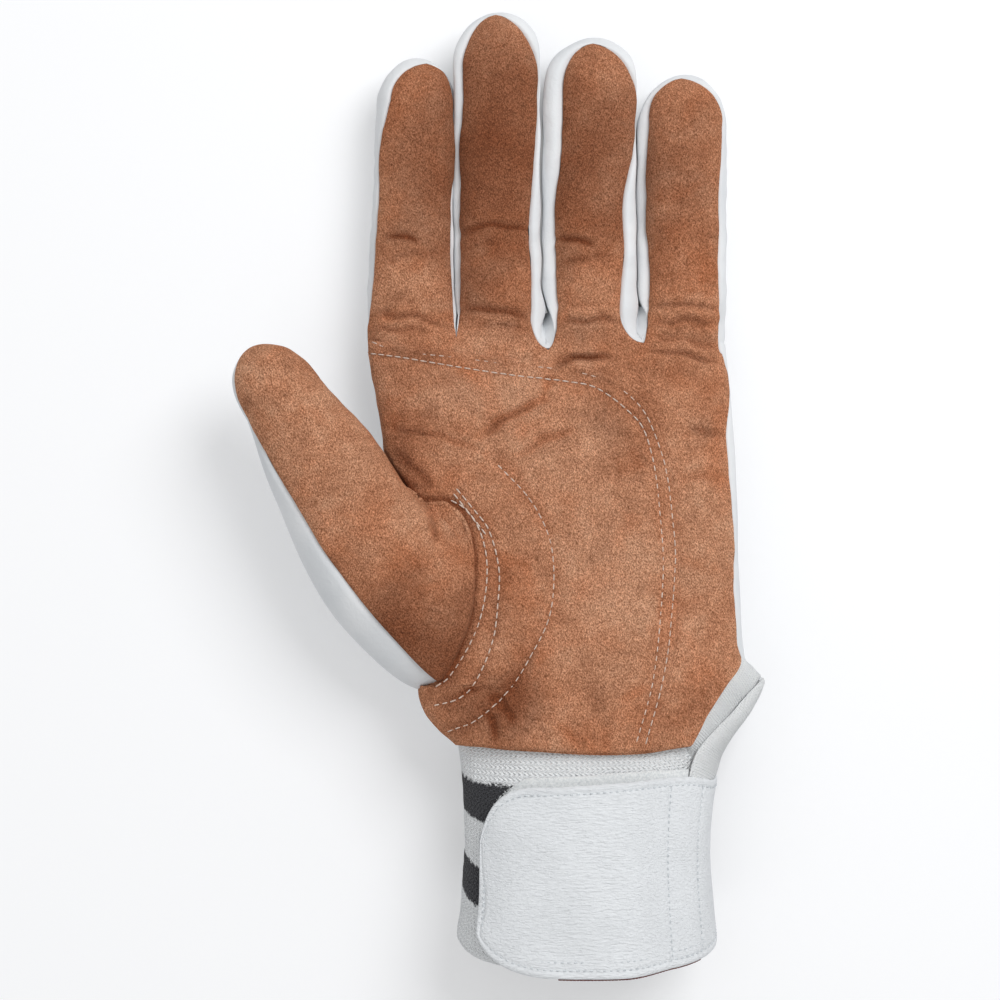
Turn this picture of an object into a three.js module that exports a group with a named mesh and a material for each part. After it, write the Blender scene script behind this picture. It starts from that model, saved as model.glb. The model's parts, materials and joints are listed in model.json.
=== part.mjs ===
// Wicket keeping inner glove for the left hand, in millimetres.
// It lies on its back: palm up (+Z), fingers along +Y, thumb towards -X. Sizes are laid out from the line
// of the finger crotches; the finished group is moved so that the middle of its lowest face is the origin.
import * as THREE from "three";

// Sheet materials and the play left at seams
const SUEDE = 1.4;
const BACK_LEATHER = 1.2;
const SIDE_STRIP = 1.0;
const SEAM_GAP = 0.3;
const REST_CUT = 0.5;

// Fingers, index to little: insets are the strips of white seen from above beside the suede
const FINGER_GAP = 0.9;
const FINGER_DEPTH = 20.4;
const FINGER_ROUNDNESS = 2.5;
const FINGERTIP = 15;
const INDEX_LENGTH = 77;
const INDEX_WIDTH = 24.2;
const INDEX_TIP_WIDTH = 21.4;
const INDEX_LEAN = 1.5;
const INDEX_INSET_LEFT = 1.9;
const INDEX_INSET_RIGHT = 1.1;
const MIDDLE_LENGTH = 89.3;
const MIDDLE_WIDTH = 23.6;
const MIDDLE_TIP_WIDTH = 23.6;
const MIDDLE_LEAN = -0.4;
const MIDDLE_INSET_LEFT = 1.1;
const MIDDLE_INSET_RIGHT = 3.4;
const RING_LENGTH = 82.5;
const RING_WIDTH = 24.4;
const RING_TIP_WIDTH = 24.4;
const RING_LEAN = 0;
const RING_INSET_LEFT = 2.4;
const RING_INSET_RIGHT = 3.4;
const LITTLE_LENGTH = 72.5;
const LITTLE_WIDTH = 22.3;
const LITTLE_TIP_WIDTH = 22.3;
const LITTLE_LEAN = 0.2;
const LITTLE_INSET_LEFT = 1.4;
const LITTLE_INSET_RIGHT = 1.6;
const FINGERS = [
  {
    name: "index",
    length: INDEX_LENGTH,
    width: INDEX_WIDTH,
    tipWidth: INDEX_TIP_WIDTH,
    lean: INDEX_LEAN,
    insetLeft: INDEX_INSET_LEFT,
    insetRight: INDEX_INSET_RIGHT,
  },
  {
    name: "middle",
    length: MIDDLE_LENGTH,
    width: MIDDLE_WIDTH,
    tipWidth: MIDDLE_TIP_WIDTH,
    lean: MIDDLE_LEAN,
    insetLeft: MIDDLE_INSET_LEFT,
    insetRight: MIDDLE_INSET_RIGHT,
  },
  {
    name: "ring",
    length: RING_LENGTH,
    width: RING_WIDTH,
    tipWidth: RING_TIP_WIDTH,
    lean: RING_LEAN,
    insetLeft: RING_INSET_LEFT,
    insetRight: RING_INSET_RIGHT,
  },
  {
    name: "little",
    length: LITTLE_LENGTH,
    width: LITTLE_WIDTH,
    tipWidth: LITTLE_TIP_WIDTH,
    lean: LITTLE_LEAN,
    insetLeft: LITTLE_INSET_LEFT,
    insetRight: LITTLE_INSET_RIGHT,
  },
];
const WALL_ANGLE = 40;
const FINGER_FLEX = 60;
const HINGE_DEPTH = 3.5;
const QUIRK_WIDTH = 4.4;

// Hand
const PALM_LENGTH = 107;
const KNUCKLE_DEPTH = 20.8;
const PALM_DEPTH = 29;
const HEEL_DEPTH = 36;
const HAND_ROUNDNESS = 3;
const ULNAR_SEAM = 20;
const WRIST_WIDTH = 71.5;
const WRIST_SHIFT = 11.7;
const WEB_DROP = 29;
const WEB_INSET = 5.2;
const HEEL_INSET = 14.5;
const HEEL_BULGE = 4.4;
const VENT_LENGTH = 23;
const VENT_BULGE = 9;
const VENT_RISE = 7;
const LIP_TURN = 30;
const LIP_RUN = 10;

// Palm patch, padding and lining
const PATCH = 1.2;
const PATCH_WIDTH = 82;
const PATCH_DROP = 1;
const PATCH_SLANT = 6;
const PATCH_CORNER = 20;
const FOAM = 3;
const LINING = 0.8;

// Thumb
const THUMB_LENGTH = 75;
const THUMB_ANGLE = 30;
const THUMB_ABOVE_WRIST = 41;
const THUMB_INSET = 9;
const THUMB_ROOT_WIDTH = 39;
const THUMB_TIP_WIDTH = 23.4;
const THUMB_ROOT_DEPTH = 26;
const THUMB_TIP_DEPTH = 21;
const THUMB_HEIGHT = 24;
const THUMB_RISE = 5;
const THUMB_ROUNDNESS = 2.2;
const THUMB_TIP = 16;
const THUMB_SEAM = 11;
const THUMB_SEAM_SPAN = 48;
const THUMB_SEAM_RADIUS = 34.3;
const THUMB_SEAM_REACH = 29.5;
const THUMB_HINGE = 26;
const THUMB_FLEX = 45;
const THUMB_UNDER = 15;

// Cuff and strap
const CUFF_LENGTH = 55;
const CUFF_TUCK = 4;
const CUFF_WALL = 1.8;
const CUFF_TOP_WIDTH = 64;
const CUFF_RIM_WIDTH = 67;
const CUFF_SHIFT = 10;
const CUFF_RIM_DEPTH = 40;
const CUFF_ROUNDNESS = 2.4;
const CUFF_SLANT = 0.28;
const CUFF_SLIT = 62;
const TAB = 1.5;
const TAB_TOP = 6.5;
const TAB_HINGE = 46;
const TAB_END = 134;
const TAB_CORNER = 12;
const ANCHOR_END = -20;
const FASTENER = 1.0;
const FASTENER_MARGIN = 6.5;
const LOOP_START = 38;
const HOOK_START = 60;

// Surface colours
const suedeMaterial = new THREE.MeshStandardMaterial({ color: "#a9744f", roughness: 0.95, metalness: 0 });
const whiteMaterial = new THREE.MeshStandardMaterial({ color: "#dcdfe2", roughness: 0.6, metalness: 0 });
const knitMaterial = new THREE.MeshStandardMaterial({ color: "#c9cccf", roughness: 0.95, metalness: 0 });
const foamMaterial = new THREE.MeshStandardMaterial({ color: "#e8dfc8", roughness: 0.9, metalness: 0 });
const hookMaterial = new THREE.MeshStandardMaterial({ color: "#f0f0ee", roughness: 0.9, metalness: 0 });

const radians = THREE.MathUtils.degToRad;
const mix = THREE.MathUtils.lerp;
const ease = THREE.MathUtils.smoothstep;
const signedPower = (base, power) => Math.sign(base) * Math.abs(base) ** power;

// Smooth value through a few [position, value] stations, in rising order of position
function stations(list) {
  const slopes = list.map((here, i) => {
    const before = list[Math.max(i - 1, 0)];
    const after = list[Math.min(i + 1, list.length - 1)];
    return (after[1] - before[1]) / (after[0] - before[0]);
  });
  return (at) => {
    const clamped = THREE.MathUtils.clamp(at, list[0][0], list[list.length - 1][0]);
    let k = 0;
    while (k < list.length - 2 && clamped > list[k + 1][0]) k += 1;
    const span = list[k + 1][0] - list[k][0];
    const s = (clamped - list[k][0]) / span;
    const bend = slopes[k] * span * s * (1 - s) ** 2 - slopes[k + 1] * span * s * s * (1 - s);
    return mix(list[k][1], list[k + 1][1], s * s * (3 - 2 * s)) + bend;
  };
}

// Point of a rounded section: angle 0 is the ulnar side, 90 degrees the palm face, 180 the thumb side
function sectionPoint(halfWidth, halfDepth, roundness, angle) {
  const x = halfWidth * signedPower(Math.cos(angle), 2 / roundness);
  const z = halfDepth * signedPower(Math.sin(angle), 2 / roundness);
  return [x, z];
}

// Angle at which the upper half of a rounded section stands at a given share of its half width
function angleAtShare(share, roundness) {
  return Math.acos(signedPower(THREE.MathUtils.clamp(share, -1, 1), roundness / 2));
}

// Turn, in radians, that moves a point along a section by the given distance
function turnFor(distance, section, angle) {
  const step = 0.01;
  return (distance * step) / section(angle).distanceTo(section(angle + step));
}

// Closed sheet over a surface: u follows the section angle, v runs towards the fingertips
function sheet(surface, columns, rows, thickness, { lift = 0, pole = false } = {}) {
  const small = 1e-3;
  const outer = [];
  const inner = [];
  for (let j = 0; j <= rows; j += 1) {
    for (let i = 0; i <= columns; i += 1) {
      const atPole = pole && j === rows;
      const u = atPole ? 0.5 : i / columns;
      const v = j / rows;
      const near = atPole ? 1 - small : v;
      const du = surface(Math.min(u + small, 1), near).sub(surface(Math.max(u - small, 0), near));
      const dv = surface(u, Math.min(near + small, 1)).sub(surface(u, Math.max(near - small, 0)));
      const normal = dv.cross(du).normalize();
      const face = surface(u, v).addScaledVector(normal, lift);
      outer.push(face);
      inner.push(face.clone().addScaledVector(normal, -thickness));
    }
  }
  const wide = columns + 1;
  const count = outer.length;
  const place = (i, j) => (pole && j === rows ? j * wide : j * wide + i);
  const triangles = [];
  const add = (a, b, c) => {
    if (a !== b && b !== c && a !== c) triangles.push(a, b, c);
  };
  const quad = (a, b, c, d) => {
    add(a, b, c);
    add(a, c, d);
  };
  for (let j = 0; j < rows; j += 1) {
    for (let i = 0; i < columns; i += 1) {
      const [a, b, c, d] = [place(i, j), place(i + 1, j), place(i + 1, j + 1), place(i, j + 1)];
      add(a, d, b);
      add(b, d, c);
      add(a + count, b + count, d + count);
      add(b + count, c + count, d + count);
    }
    const [low, high] = [place(0, j), place(0, j + 1)];
    const [lowEnd, highEnd] = [place(columns, j), place(columns, j + 1)];
    quad(high, low, low + count, high + count);
    quad(lowEnd, highEnd, highEnd + count, lowEnd + count);
  }
  for (let i = 0; i < columns; i += 1) {
    const [a, b] = [place(i, 0), place(i + 1, 0)];
    const [p, q] = [place(i, rows), place(i + 1, rows)];
    quad(a, b, b + count, a + count);
    quad(q, p, p + count, q + count);
  }
  const points = [...outer, ...inner].flatMap((p) => [p.x, p.y, p.z]);
  const geometry = new THREE.BufferGeometry();
  geometry.setAttribute("position", new THREE.Float32BufferAttribute(points, 3));
  geometry.setIndex(triangles);
  geometry.computeVertexNormals();
  return geometry;
}

const glove = new THREE.Group();
glove.name = "wicket_keeping_inner_glove";

function addPiece(name, geometry, material, parent = glove) {
  const piece = new THREE.Mesh(geometry, material);
  piece.name = name;
  parent.add(piece);
  return piece;
}

// The back of the glove is pressed flat where it lies on the table
const rested = (z) => Math.max(z, REST_CUT);

// Hinges sit just under the palm face, so the suede is notched to let the fingers fold
const hingeHeight = FINGER_DEPTH - HINGE_DEPTH;
const notch = (KNUCKLE_DEPTH - hingeHeight) * Math.tan(radians(FINGER_FLEX / 2)) + SEAM_GAP;

// Hand outline and section
const fingerSpan = FINGERS.reduce((sum, finger) => sum + finger.width, FINGER_GAP * (FINGERS.length - 1));
const palmHalf = fingerSpan / 2;
const wristLeft = WRIST_SHIFT - WRIST_WIDTH / 2;
const wristRight = WRIST_SHIFT + WRIST_WIDTH / 2;
const ventTop = VENT_LENGTH - PALM_LENGTH;
const thumbSeamY = THUMB_ABOVE_WRIST - PALM_LENGTH;
const thumbSeamLow = thumbSeamY - THUMB_SEAM_SPAN / 2;
const thumbSeamHigh = thumbSeamY + THUMB_SEAM_SPAN / 2;

const handLeft = stations([
  [-PALM_LENGTH, wristLeft],
  [thumbSeamLow, HEEL_INSET - palmHalf],
  [-WEB_DROP, WEB_INSET - palmHalf],
  [0, -palmHalf],
]);
const handRight = stations([
  [-PALM_LENGTH, wristRight],
  [ventTop - VENT_RISE, palmHalf + VENT_BULGE],
  [ventTop, palmHalf + HEEL_BULGE],
  [-WEB_DROP, palmHalf + HEEL_BULGE / 2],
  [0, palmHalf],
]);
const handDepth = stations([
  [-PALM_LENGTH, HEEL_DEPTH],
  [thumbSeamY, PALM_DEPTH],
  [0, KNUCKLE_DEPTH],
]);

function handPoint(y, angle) {
  const halfDepth = handDepth(y) / 2;
  const halfWidth = (handRight(y) - handLeft(y)) / 2;
  const [x, z] = sectionPoint(halfWidth, halfDepth, HAND_ROUNDNESS, angle);
  return new THREE.Vector3((handRight(y) + handLeft(y)) / 2 + x, y, rested(halfDepth + z));
}

function handAngleAtX(y, x) {
  const middle = (handRight(y) + handLeft(y)) / 2;
  return angleAtShare((x - middle) / (handRight(y) - middle), HAND_ROUNDNESS);
}

// Thumb opening in the palm: an arc of stitching that bulges into the palm, from the web down to the heel
const thumbSeamMiddle = -palmHalf + THUMB_SEAM_REACH - THUMB_SEAM_RADIUS;
const thumbSeamX = (y) => thumbSeamMiddle + Math.sqrt(THUMB_SEAM_RADIUS ** 2 - (y - thumbSeamY) ** 2);

function palmLeftX(y) {
  const webStart = Math.max(-WEB_DROP, thumbSeamHigh + SEAM_GAP);
  const heelEnd = thumbSeamLow - SUEDE;
  if (y >= webStart || y <= heelEnd) return handLeft(y);
  if (y > thumbSeamHigh) {
    return mix(thumbSeamX(thumbSeamHigh), handLeft(webStart), (y - thumbSeamHigh) / (webStart - thumbSeamHigh));
  }
  if (y < thumbSeamLow) {
    return mix(thumbSeamX(thumbSeamLow), handLeft(heelEnd), (thumbSeamLow - y) / (thumbSeamLow - heelEnd));
  }
  return thumbSeamX(y);
}

// Suede palm: its lower ulnar corner is cut off by the slanted edge of the wrist vent
const ulnarSeam = radians(ULNAR_SEAM);
const ventShare = 0.125;
function palmAngle(u, y) {
  return mix(ulnarSeam, handAngleAtX(y, palmLeftX(y)), u);
}
function palmSurface(u, v) {
  const low = mix(ventTop, -PALM_LENGTH, Math.min(u / ventShare, 1));
  const y = mix(low, -notch, v);
  return handPoint(y, palmAngle(u, y));
}
addPiece("palm_panel", sheet(palmSurface, 16, 22, SUEDE), suedeMaterial);

// Patch sewn over the thumb side of the palm, with a rounded upper ulnar corner
const patchCornerShare = 1 / 3;
function patchSurface(u, v) {
  const low = -PALM_LENGTH + SEAM_GAP;
  const into = Math.max(1 - u / patchCornerShare, 0);
  const fall = PATCH_CORNER * (1 - Math.sqrt(1 - into ** 2));
  const y = mix(low, -notch - PATCH_DROP - PATCH_SLANT * (1 - u) - fall, v);
  const right = handAngleAtX(y, PATCH_WIDTH - palmHalf);
  const edge = Math.max(palmLeftX(Math.max(y, thumbSeamLow)), handLeft(y) + SUEDE);
  const left = handAngleAtX(y, edge + 2 * SUEDE);
  return handPoint(y, mix(right, left, u));
}
addPiece("palm_patch", sheet(patchSurface, 12, 22, PATCH, { lift: PATCH + 2 * SEAM_GAP }), suedeMaterial);

// Foam and lining under the palm
function paddingSurface(u, v) {
  const y = mix(ventTop, -notch - PATCH_SLANT, v);
  const left = handAngleAtX(y, palmLeftX(y) + 3 * FOAM);
  return handPoint(y, mix(ulnarSeam + 2 * turnFor(FOAM, (angle) => handPoint(y, angle), ulnarSeam), left, u));
}
const foamLift = -SUEDE - SEAM_GAP;
addPiece("palm_foam_pad", sheet(paddingSurface, 8, 10, FOAM, { lift: foamLift }), foamMaterial);
const liningLift = foamLift - FOAM - SEAM_GAP;
addPiece("palm_lining", sheet(paddingSurface, 8, 10, LINING, { lift: liningLift }), knitMaterial);

// White back: a tray whose thumb side is cut low where the thumb joins
const lipTurn = radians(LIP_TURN);
function backLip(y) {
  const below = ease(y, thumbSeamLow - SEAM_GAP, thumbSeamLow + LIP_RUN);
  const above = ease(y, thumbSeamHigh, Math.max(-WEB_DROP, thumbSeamHigh + LIP_RUN));
  return Math.PI + lipTurn * below * (1 - above);
}
const backEdge = (y) => ulnarSeam * (1 - ease(-y, -ventTop, -ventTop + VENT_RISE));
function backSurface(u, v) {
  const y = mix(-PALM_LENGTH, -SEAM_GAP, v);
  const section = (angle) => handPoint(y, angle);
  const start = backLip(y) + turnFor(SEAM_GAP, section, backLip(y));
  const end = 2 * Math.PI + backEdge(y) - turnFor(SEAM_GAP, section, backEdge(y));
  return section(mix(start, end, u));
}
addPiece("back_panel", sheet(backSurface, 22, 20, BACK_LEATHER), whiteMaterial);

// Ribbed tapes on both edges of the wrist vent, parted by the slit
const slitShare = 0.7;
const tapeReach = 0.9;
function ventEdges(v) {
  const y = mix(-PALM_LENGTH, ventTop, v);
  const palmSide = palmAngle(ventShare * (1 - v), y);
  return { y, palmSide, backSide: backEdge(y), split: mix(backEdge(y), palmSide, slitShare) };
}
function ventTape(from, to) {
  return (u, v) => {
    const edges = ventEdges(v * tapeReach);
    const section = (angle) => handPoint(edges.y, angle);
    const start = edges[from] + turnFor(3 * SEAM_GAP, section, edges[from]);
    const end = edges[to] - turnFor(2 * SEAM_GAP, section, edges[to]);
    return section(mix(start, end, u));
  };
}
addPiece("palm_vent_binding", sheet(ventTape("split", "palmSide"), 4, 8, BACK_LEATHER), knitMaterial);
addPiece("back_vent_binding", sheet(ventTape("backSide", "split"), 4, 8, BACK_LEATHER), knitMaterial);

// Rows of a stall: even along its straight part, then closing over the round tip, short of the very end
const stallRowCount = 10;
const straightRows = 0.4;
const tipClosing = 0.48 * Math.PI;
function stallRows(start, length, tip) {
  return (v) => {
    if (v <= straightRows) return mix(start, length - tip, v / straightRows);
    return length - tip + tip * Math.sin((tipClosing * (v - straightRows)) / (1 - straightRows));
  };
}

// Fingers: each is a stall of a suede front, a white back and white side strips
function fingerSection(finger, t, angle) {
  const tipStart = finger.length - FINGERTIP;
  const dome = Math.sqrt(Math.max(1 - Math.max((t - tipStart) / FINGERTIP, 0) ** 2, 0));
  const halfWidth = mix(finger.width, finger.tipWidth, Math.min(t / tipStart, 1)) / 2;
  const [x, z] = sectionPoint(halfWidth * dome, (FINGER_DEPTH / 2) * dome, FINGER_ROUNDNESS, angle);
  return new THREE.Vector3(x, t, rested(FINGER_DEPTH / 2 + z));
}

function fingerSheet(finger, from, to, start, columns, wall) {
  const section = (angle) => fingerSection(finger, start, angle);
  const first = from + turnFor(SEAM_GAP / 2, section, from);
  const last = to - turnFor(SEAM_GAP / 2, section, to);
  const along = stallRows(start, finger.length, FINGERTIP);
  const surface = (u, v) => fingerSection(finger, along(v), mix(first, last, u));
  return sheet(surface, columns, stallRowCount, wall, { pole: true });
}

const stalls = [];
let fingerLeft = -palmHalf;
FINGERS.forEach((finger, order) => {
  const stall = new THREE.Group();
  stall.name = finger.name;
  stalls.push(stall);
  stall.position.set(fingerLeft + finger.width / 2, 0, 0);
  stall.rotation.z = -radians(finger.lean);
  glove.add(stall);
  fingerLeft += finger.width + FINGER_GAP;

  const half = finger.width / 2;
  const right = angleAtShare(1 - finger.insetRight / half, FINGER_ROUNDNESS);
  const left = angleAtShare(finger.insetLeft / half - 1, FINGER_ROUNDNESS);
  const low = radians(WALL_ANGLE);
  const radialWall = order > 0;
  const ulnarWall = order < FINGERS.length - 1;
  const backStart = radialWall ? Math.PI + low : left;
  const backEnd = 2 * Math.PI + (ulnarWall ? -low : right);
  const front = fingerSheet(finger, right, left, notch, 8, SUEDE);
  addPiece(`${finger.name}_front`, front, suedeMaterial, stall);
  const back = fingerSheet(finger, backStart, backEnd, SEAM_GAP, 9, BACK_LEATHER);
  addPiece(`${finger.name}_back`, back, whiteMaterial, stall);
  if (radialWall) {
    const wall = fingerSheet(finger, left, Math.PI + low, SEAM_GAP, 4, SIDE_STRIP);
    addPiece(`${finger.name}_radial_fourchette`, wall, whiteMaterial, stall);
  }
  if (ulnarWall) {
    const wall = fingerSheet(finger, -low, right, SEAM_GAP, 4, SIDE_STRIP);
    addPiece(`${finger.name}_ulnar_fourchette`, wall, whiteMaterial, stall);
  }
});

// Crotch gussets: small upright diamonds that close the hand between two fingers
const quirkLength = notch - 2 * SEAM_GAP;
let crotch = -palmHalf - FINGER_GAP / 2;
FINGERS.slice(0, -1).forEach((finger, order) => {
  crotch += finger.width + FINGER_GAP;
  const diamond = new THREE.Shape([
    new THREE.Vector2(QUIRK_WIDTH / 2, 0),
    new THREE.Vector2(0, quirkLength / 2),
    new THREE.Vector2(-QUIRK_WIDTH / 2, 0),
    new THREE.Vector2(0, -quirkLength / 2),
  ]);
  const bottom = REST_CUT + BACK_LEATHER + SEAM_GAP;
  const height = hingeHeight - 2 * SEAM_GAP - bottom;
  const gusset = new THREE.ExtrudeGeometry(diamond, { depth: height, bevelEnabled: false });
  const piece = addPiece(`${finger.name}_${FINGERS[order + 1].name}_quirk`, gusset, whiteMaterial);
  piece.position.set(crotch, -notch / 2, bottom);
});

// Thumb: a stall set at an angle, its suede continuing over the thumb muscle to the arc seam on the palm
const thumbRoot = new THREE.Vector3(-palmHalf + THUMB_INSET, thumbSeamY, 0);
const thumbTurn = new THREE.Matrix4().makeRotationZ(radians(THUMB_ANGLE)).setPosition(thumbRoot);
const thumbTipStart = THUMB_LENGTH - THUMB_TIP;
const widthEase = 1.4;
const depthEase = 2;
const thumbShare = (t) => THREE.MathUtils.clamp(t / thumbTipStart, 0, 1);
const thumbHalfWidth = (t) => mix(THUMB_ROOT_WIDTH, THUMB_TIP_WIDTH, thumbShare(t) ** widthEase) / 2;
const thumbHalfDepth = (t) => mix(THUMB_ROOT_DEPTH, THUMB_TIP_DEPTH, thumbShare(t) ** depthEase) / 2;
const thumbHeight = (t) => THUMB_HEIGHT + (THUMB_RISE * t) / THUMB_LENGTH;

function thumbPoint(t, angle) {
  const dome = Math.sqrt(Math.max(1 - Math.max((t - thumbTipStart) / THUMB_TIP, 0) ** 2, 0));
  const [x, z] = sectionPoint(thumbHalfWidth(t) * dome, thumbHalfDepth(t) * dome, THUMB_ROUNDNESS, angle);
  return new THREE.Vector3(x, t, thumbHeight(t) + z).applyMatrix4(thumbTurn);
}
const thumbRight = -radians(THUMB_UNDER);
const thumbSideShare = -0.94;
const thumbSeamShare = (t) => Math.max(-THUMB_SEAM / thumbHalfWidth(t), thumbSideShare);
const thumbLeft = (t) => angleAtShare(thumbSeamShare(t), THUMB_ROUNDNESS);
const thumbTrim = (t) => turnFor(SEAM_GAP / 2, (angle) => thumbPoint(t, angle), thumbLeft(t));
const thumbHingeHeight = thumbHeight(THUMB_HINGE) + thumbHalfDepth(THUMB_HINGE) - HINGE_DEPTH;
const thumbNotch = HINGE_DEPTH * Math.tan(radians(THUMB_FLEX / 2)) + SEAM_GAP;

function thumbStrip(isFront, t, u) {
  const right = isFront ? thumbRight + thumbTrim(t) : 2 * Math.PI + thumbRight - thumbTrim(t);
  const left = isFront ? thumbLeft(t) - thumbTrim(t) : thumbLeft(t) + thumbTrim(t);
  return isFront ? mix(right, left, u) : mix(left, right, u);
}
function thumbStall(isFront, start) {
  const along = stallRows(start, THUMB_LENGTH, THUMB_TIP);
  return (u, v) => thumbPoint(along(v), thumbStrip(isFront, Math.min(along(v), thumbTipStart), u));
}
const thumbFront = thumbStall(true, THUMB_HINGE + thumbNotch);
addPiece("thumb_front", sheet(thumbFront, 10, stallRowCount, SUEDE, { pole: true }), suedeMaterial);
const thumbBack = thumbStall(false, THUMB_HINGE + SEAM_GAP);
addPiece("thumb_back", sheet(thumbBack, 14, stallRowCount, BACK_LEATHER, { pole: true }), whiteMaterial);

// Thumb base: from the arc seam, and from the low lip of the back, up to the thumb hinge
const seamTurn = Math.asin(THUMB_SEAM_SPAN / 2 / THUMB_SEAM_RADIUS);
function thumbSeamPoint(u, inset) {
  const turn = mix(seamTurn, -seamTurn, u);
  const reach = THUMB_SEAM_RADIUS - inset;
  const x = thumbSeamMiddle + reach * Math.cos(turn);
  const y = thumbSeamY + reach * Math.sin(turn);
  return handPoint(y, handAngleAtX(y, x));
}
function thumbLipPoint(u) {
  const y = mix(thumbSeamLow, thumbSeamHigh, u);
  const lip = handPoint(y, Math.PI + lipTurn - radians(7));
  const corner = thumbSeamPoint(u < 0.5 ? 1 : 0, 3 * SEAM_GAP);
  corner.z -= 2 * SUEDE;
  return lip.lerp(corner, Math.abs(2 * u - 1) ** 6);
}
function thumbBase(isFront, stop, outer, root) {
  const reach = 1 - stop / (THUMB_HINGE + THUMB_TIP);
  return (u, v) => {
    const share = v * reach;
    const t = mix(mix(THUMB_HINGE, -THUMB_TIP, outer(u)), THUMB_HINGE, share);
    return root(u).lerp(thumbPoint(t, thumbStrip(isFront, t, u)), 1 - (1 - share) ** 2);
  };
}
const thumbSeamRoot = (u) => thumbSeamPoint(u, 2 * SEAM_GAP);
const thumbBaseFront = thumbBase(true, thumbNotch, (u) => ease(u, 0, 0.5), thumbSeamRoot);
const thumbBaseBack = thumbBase(false, SEAM_GAP, (u) => 1 - ease(u, 0.15, 0.6), thumbLipPoint);
addPiece("thumb_base_front", sheet(thumbBaseFront, 12, 10, SUEDE), suedeMaterial);
addPiece("thumb_base_back", sheet(thumbBaseBack, 16, 10, BACK_LEATHER), whiteMaterial);

// Cuff: an oval knitted band, open along a slit under the strap
const cuffTop = CUFF_TUCK - PALM_LENGTH;
const tuck = SUEDE + 2 * SEAM_GAP;
const heelHalf = handDepth(cuffTop) / 2;
function cuffPoint(v, angle, lift = 0) {
  const rim = 1 - v;
  const halfWidth = mix(CUFF_TOP_WIDTH, CUFF_RIM_WIDTH, rim) / 2;
  const halfDepth = mix(heelHalf - tuck, CUFF_RIM_DEPTH / 2, rim);
  const [x, z] = sectionPoint(halfWidth + lift, halfDepth + lift, CUFF_ROUNDNESS, angle);
  const middle = mix(heelHalf, CUFF_RIM_DEPTH / 2, rim);
  const y = cuffTop - CUFF_LENGTH * rim - CUFF_SLANT * z * rim;
  return new THREE.Vector3(CUFF_SHIFT + x, y, rested(middle + z));
}
const slit = radians(CUFF_SLIT);
const slitTurn = turnFor(SEAM_GAP, (angle) => cuffPoint(0.5, angle), slit);
const cuffSurface = (u, v) => cuffPoint(v, mix(slit + slitTurn, slit + 2 * Math.PI - slitTurn, u));
addPiece("cuff_band", sheet(cuffSurface, 44, 4, CUFF_WALL), knitMaterial);

// Strap: a leather tab hinged on its sewn end, held down by a hook and loop fastener
const hinge = radians(TAB_HINGE);
const tabEnd = radians(TAB_END);
const strapMargin = radians(6);
const patchStart = hinge + radians(LOOP_START);
const fastenerLift = 2 * (FASTENER + SEAM_GAP);
const strapShare = 1 - (CUFF_TUCK + TAB_TOP) / CUFF_LENGTH;
const tabLift = (angle) => fastenerLift * ease(angle, hinge + strapMargin, patchStart - strapMargin);
const strapGap = turnFor(SEAM_GAP, (angle) => cuffPoint(0.5, angle), hinge);

function fastenerSurface(start, end, lift) {
  const margin = FASTENER_MARGIN / CUFF_LENGTH;
  return (u, v) => cuffPoint(mix(margin, strapShare - margin, v), mix(start, end, u), lift);
}
const loopLift = SEAM_GAP + FASTENER;
const loop = fastenerSurface(patchStart, tabEnd, loopLift);
addPiece("loop_patch", sheet(loop, 12, 4, FASTENER), hookMaterial);
const hook = fastenerSurface(hinge + radians(HOOK_START), tabEnd - strapMargin, 2 * loopLift);
addPiece("hook_patch", sheet(hook, 8, 4, FASTENER), hookMaterial);

const tabStraight = 0.8;
function tabSurface(u, v) {
  const angle = mix(hinge + strapGap, tabEnd, u);
  const into = Math.max((u - tabStraight) / (1 - tabStraight), 0);
  const corner = (TAB_CORNER / CUFF_LENGTH) * (1 - Math.sqrt(1 - into ** 2));
  const share = mix(corner / 2, strapShare - corner, v);
  return cuffPoint(share, angle, TAB + SEAM_GAP + tabLift(angle));
}
addPiece("closure_tab", sheet(tabSurface, 20, 6, TAB), whiteMaterial);
const anchorSurface = (u, v) =>
  cuffPoint(mix(0, strapShare, v), mix(radians(ANCHOR_END), hinge - strapGap, u), TAB + SEAM_GAP);
addPiece("tab_anchor", sheet(anchorSurface, 8, 6, TAB), whiteMaterial);

// The origin is the middle of the lowest face
glove.updateMatrixWorld(true);
const box = new THREE.Box3().setFromObject(glove, true);
const middle = box.getCenter(new THREE.Vector3());
glove.position.set(-middle.x, -middle.y, -box.min.z);
glove.updateMatrixWorld(true);

// Hinge lines, in the finished frame: a point and a direction each
const placed = (point) => point.clone().add(glove.position).toArray();
glove.userData.hinges = {};
stalls.forEach((stall) => {
  const point = stall.position.clone().setZ(hingeHeight);
  const direction = new THREE.Vector3(1, 0, 0).applyEuler(stall.rotation);
  glove.userData.hinges[stall.name] = { point: placed(point), direction: direction.toArray() };
});
glove.userData.hinges.thumb = {
  point: placed(new THREE.Vector3(0, THUMB_HINGE, thumbHingeHeight).applyMatrix4(thumbTurn)),
  direction: new THREE.Vector3(1, 0, 0).transformDirection(thumbTurn).toArray(),
};
const strapHingeLow = cuffPoint(0, hinge, TAB + 2 * SEAM_GAP);
const strapHingeHigh = cuffPoint(strapShare, hinge, TAB + 2 * SEAM_GAP);
glove.userData.hinges.tab = {
  point: placed(strapHingeLow.clone().lerp(strapHingeHigh, 0.5)),
  direction: strapHingeHigh.clone().sub(strapHingeLow).normalize().toArray(),
};

export default glove;
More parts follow.
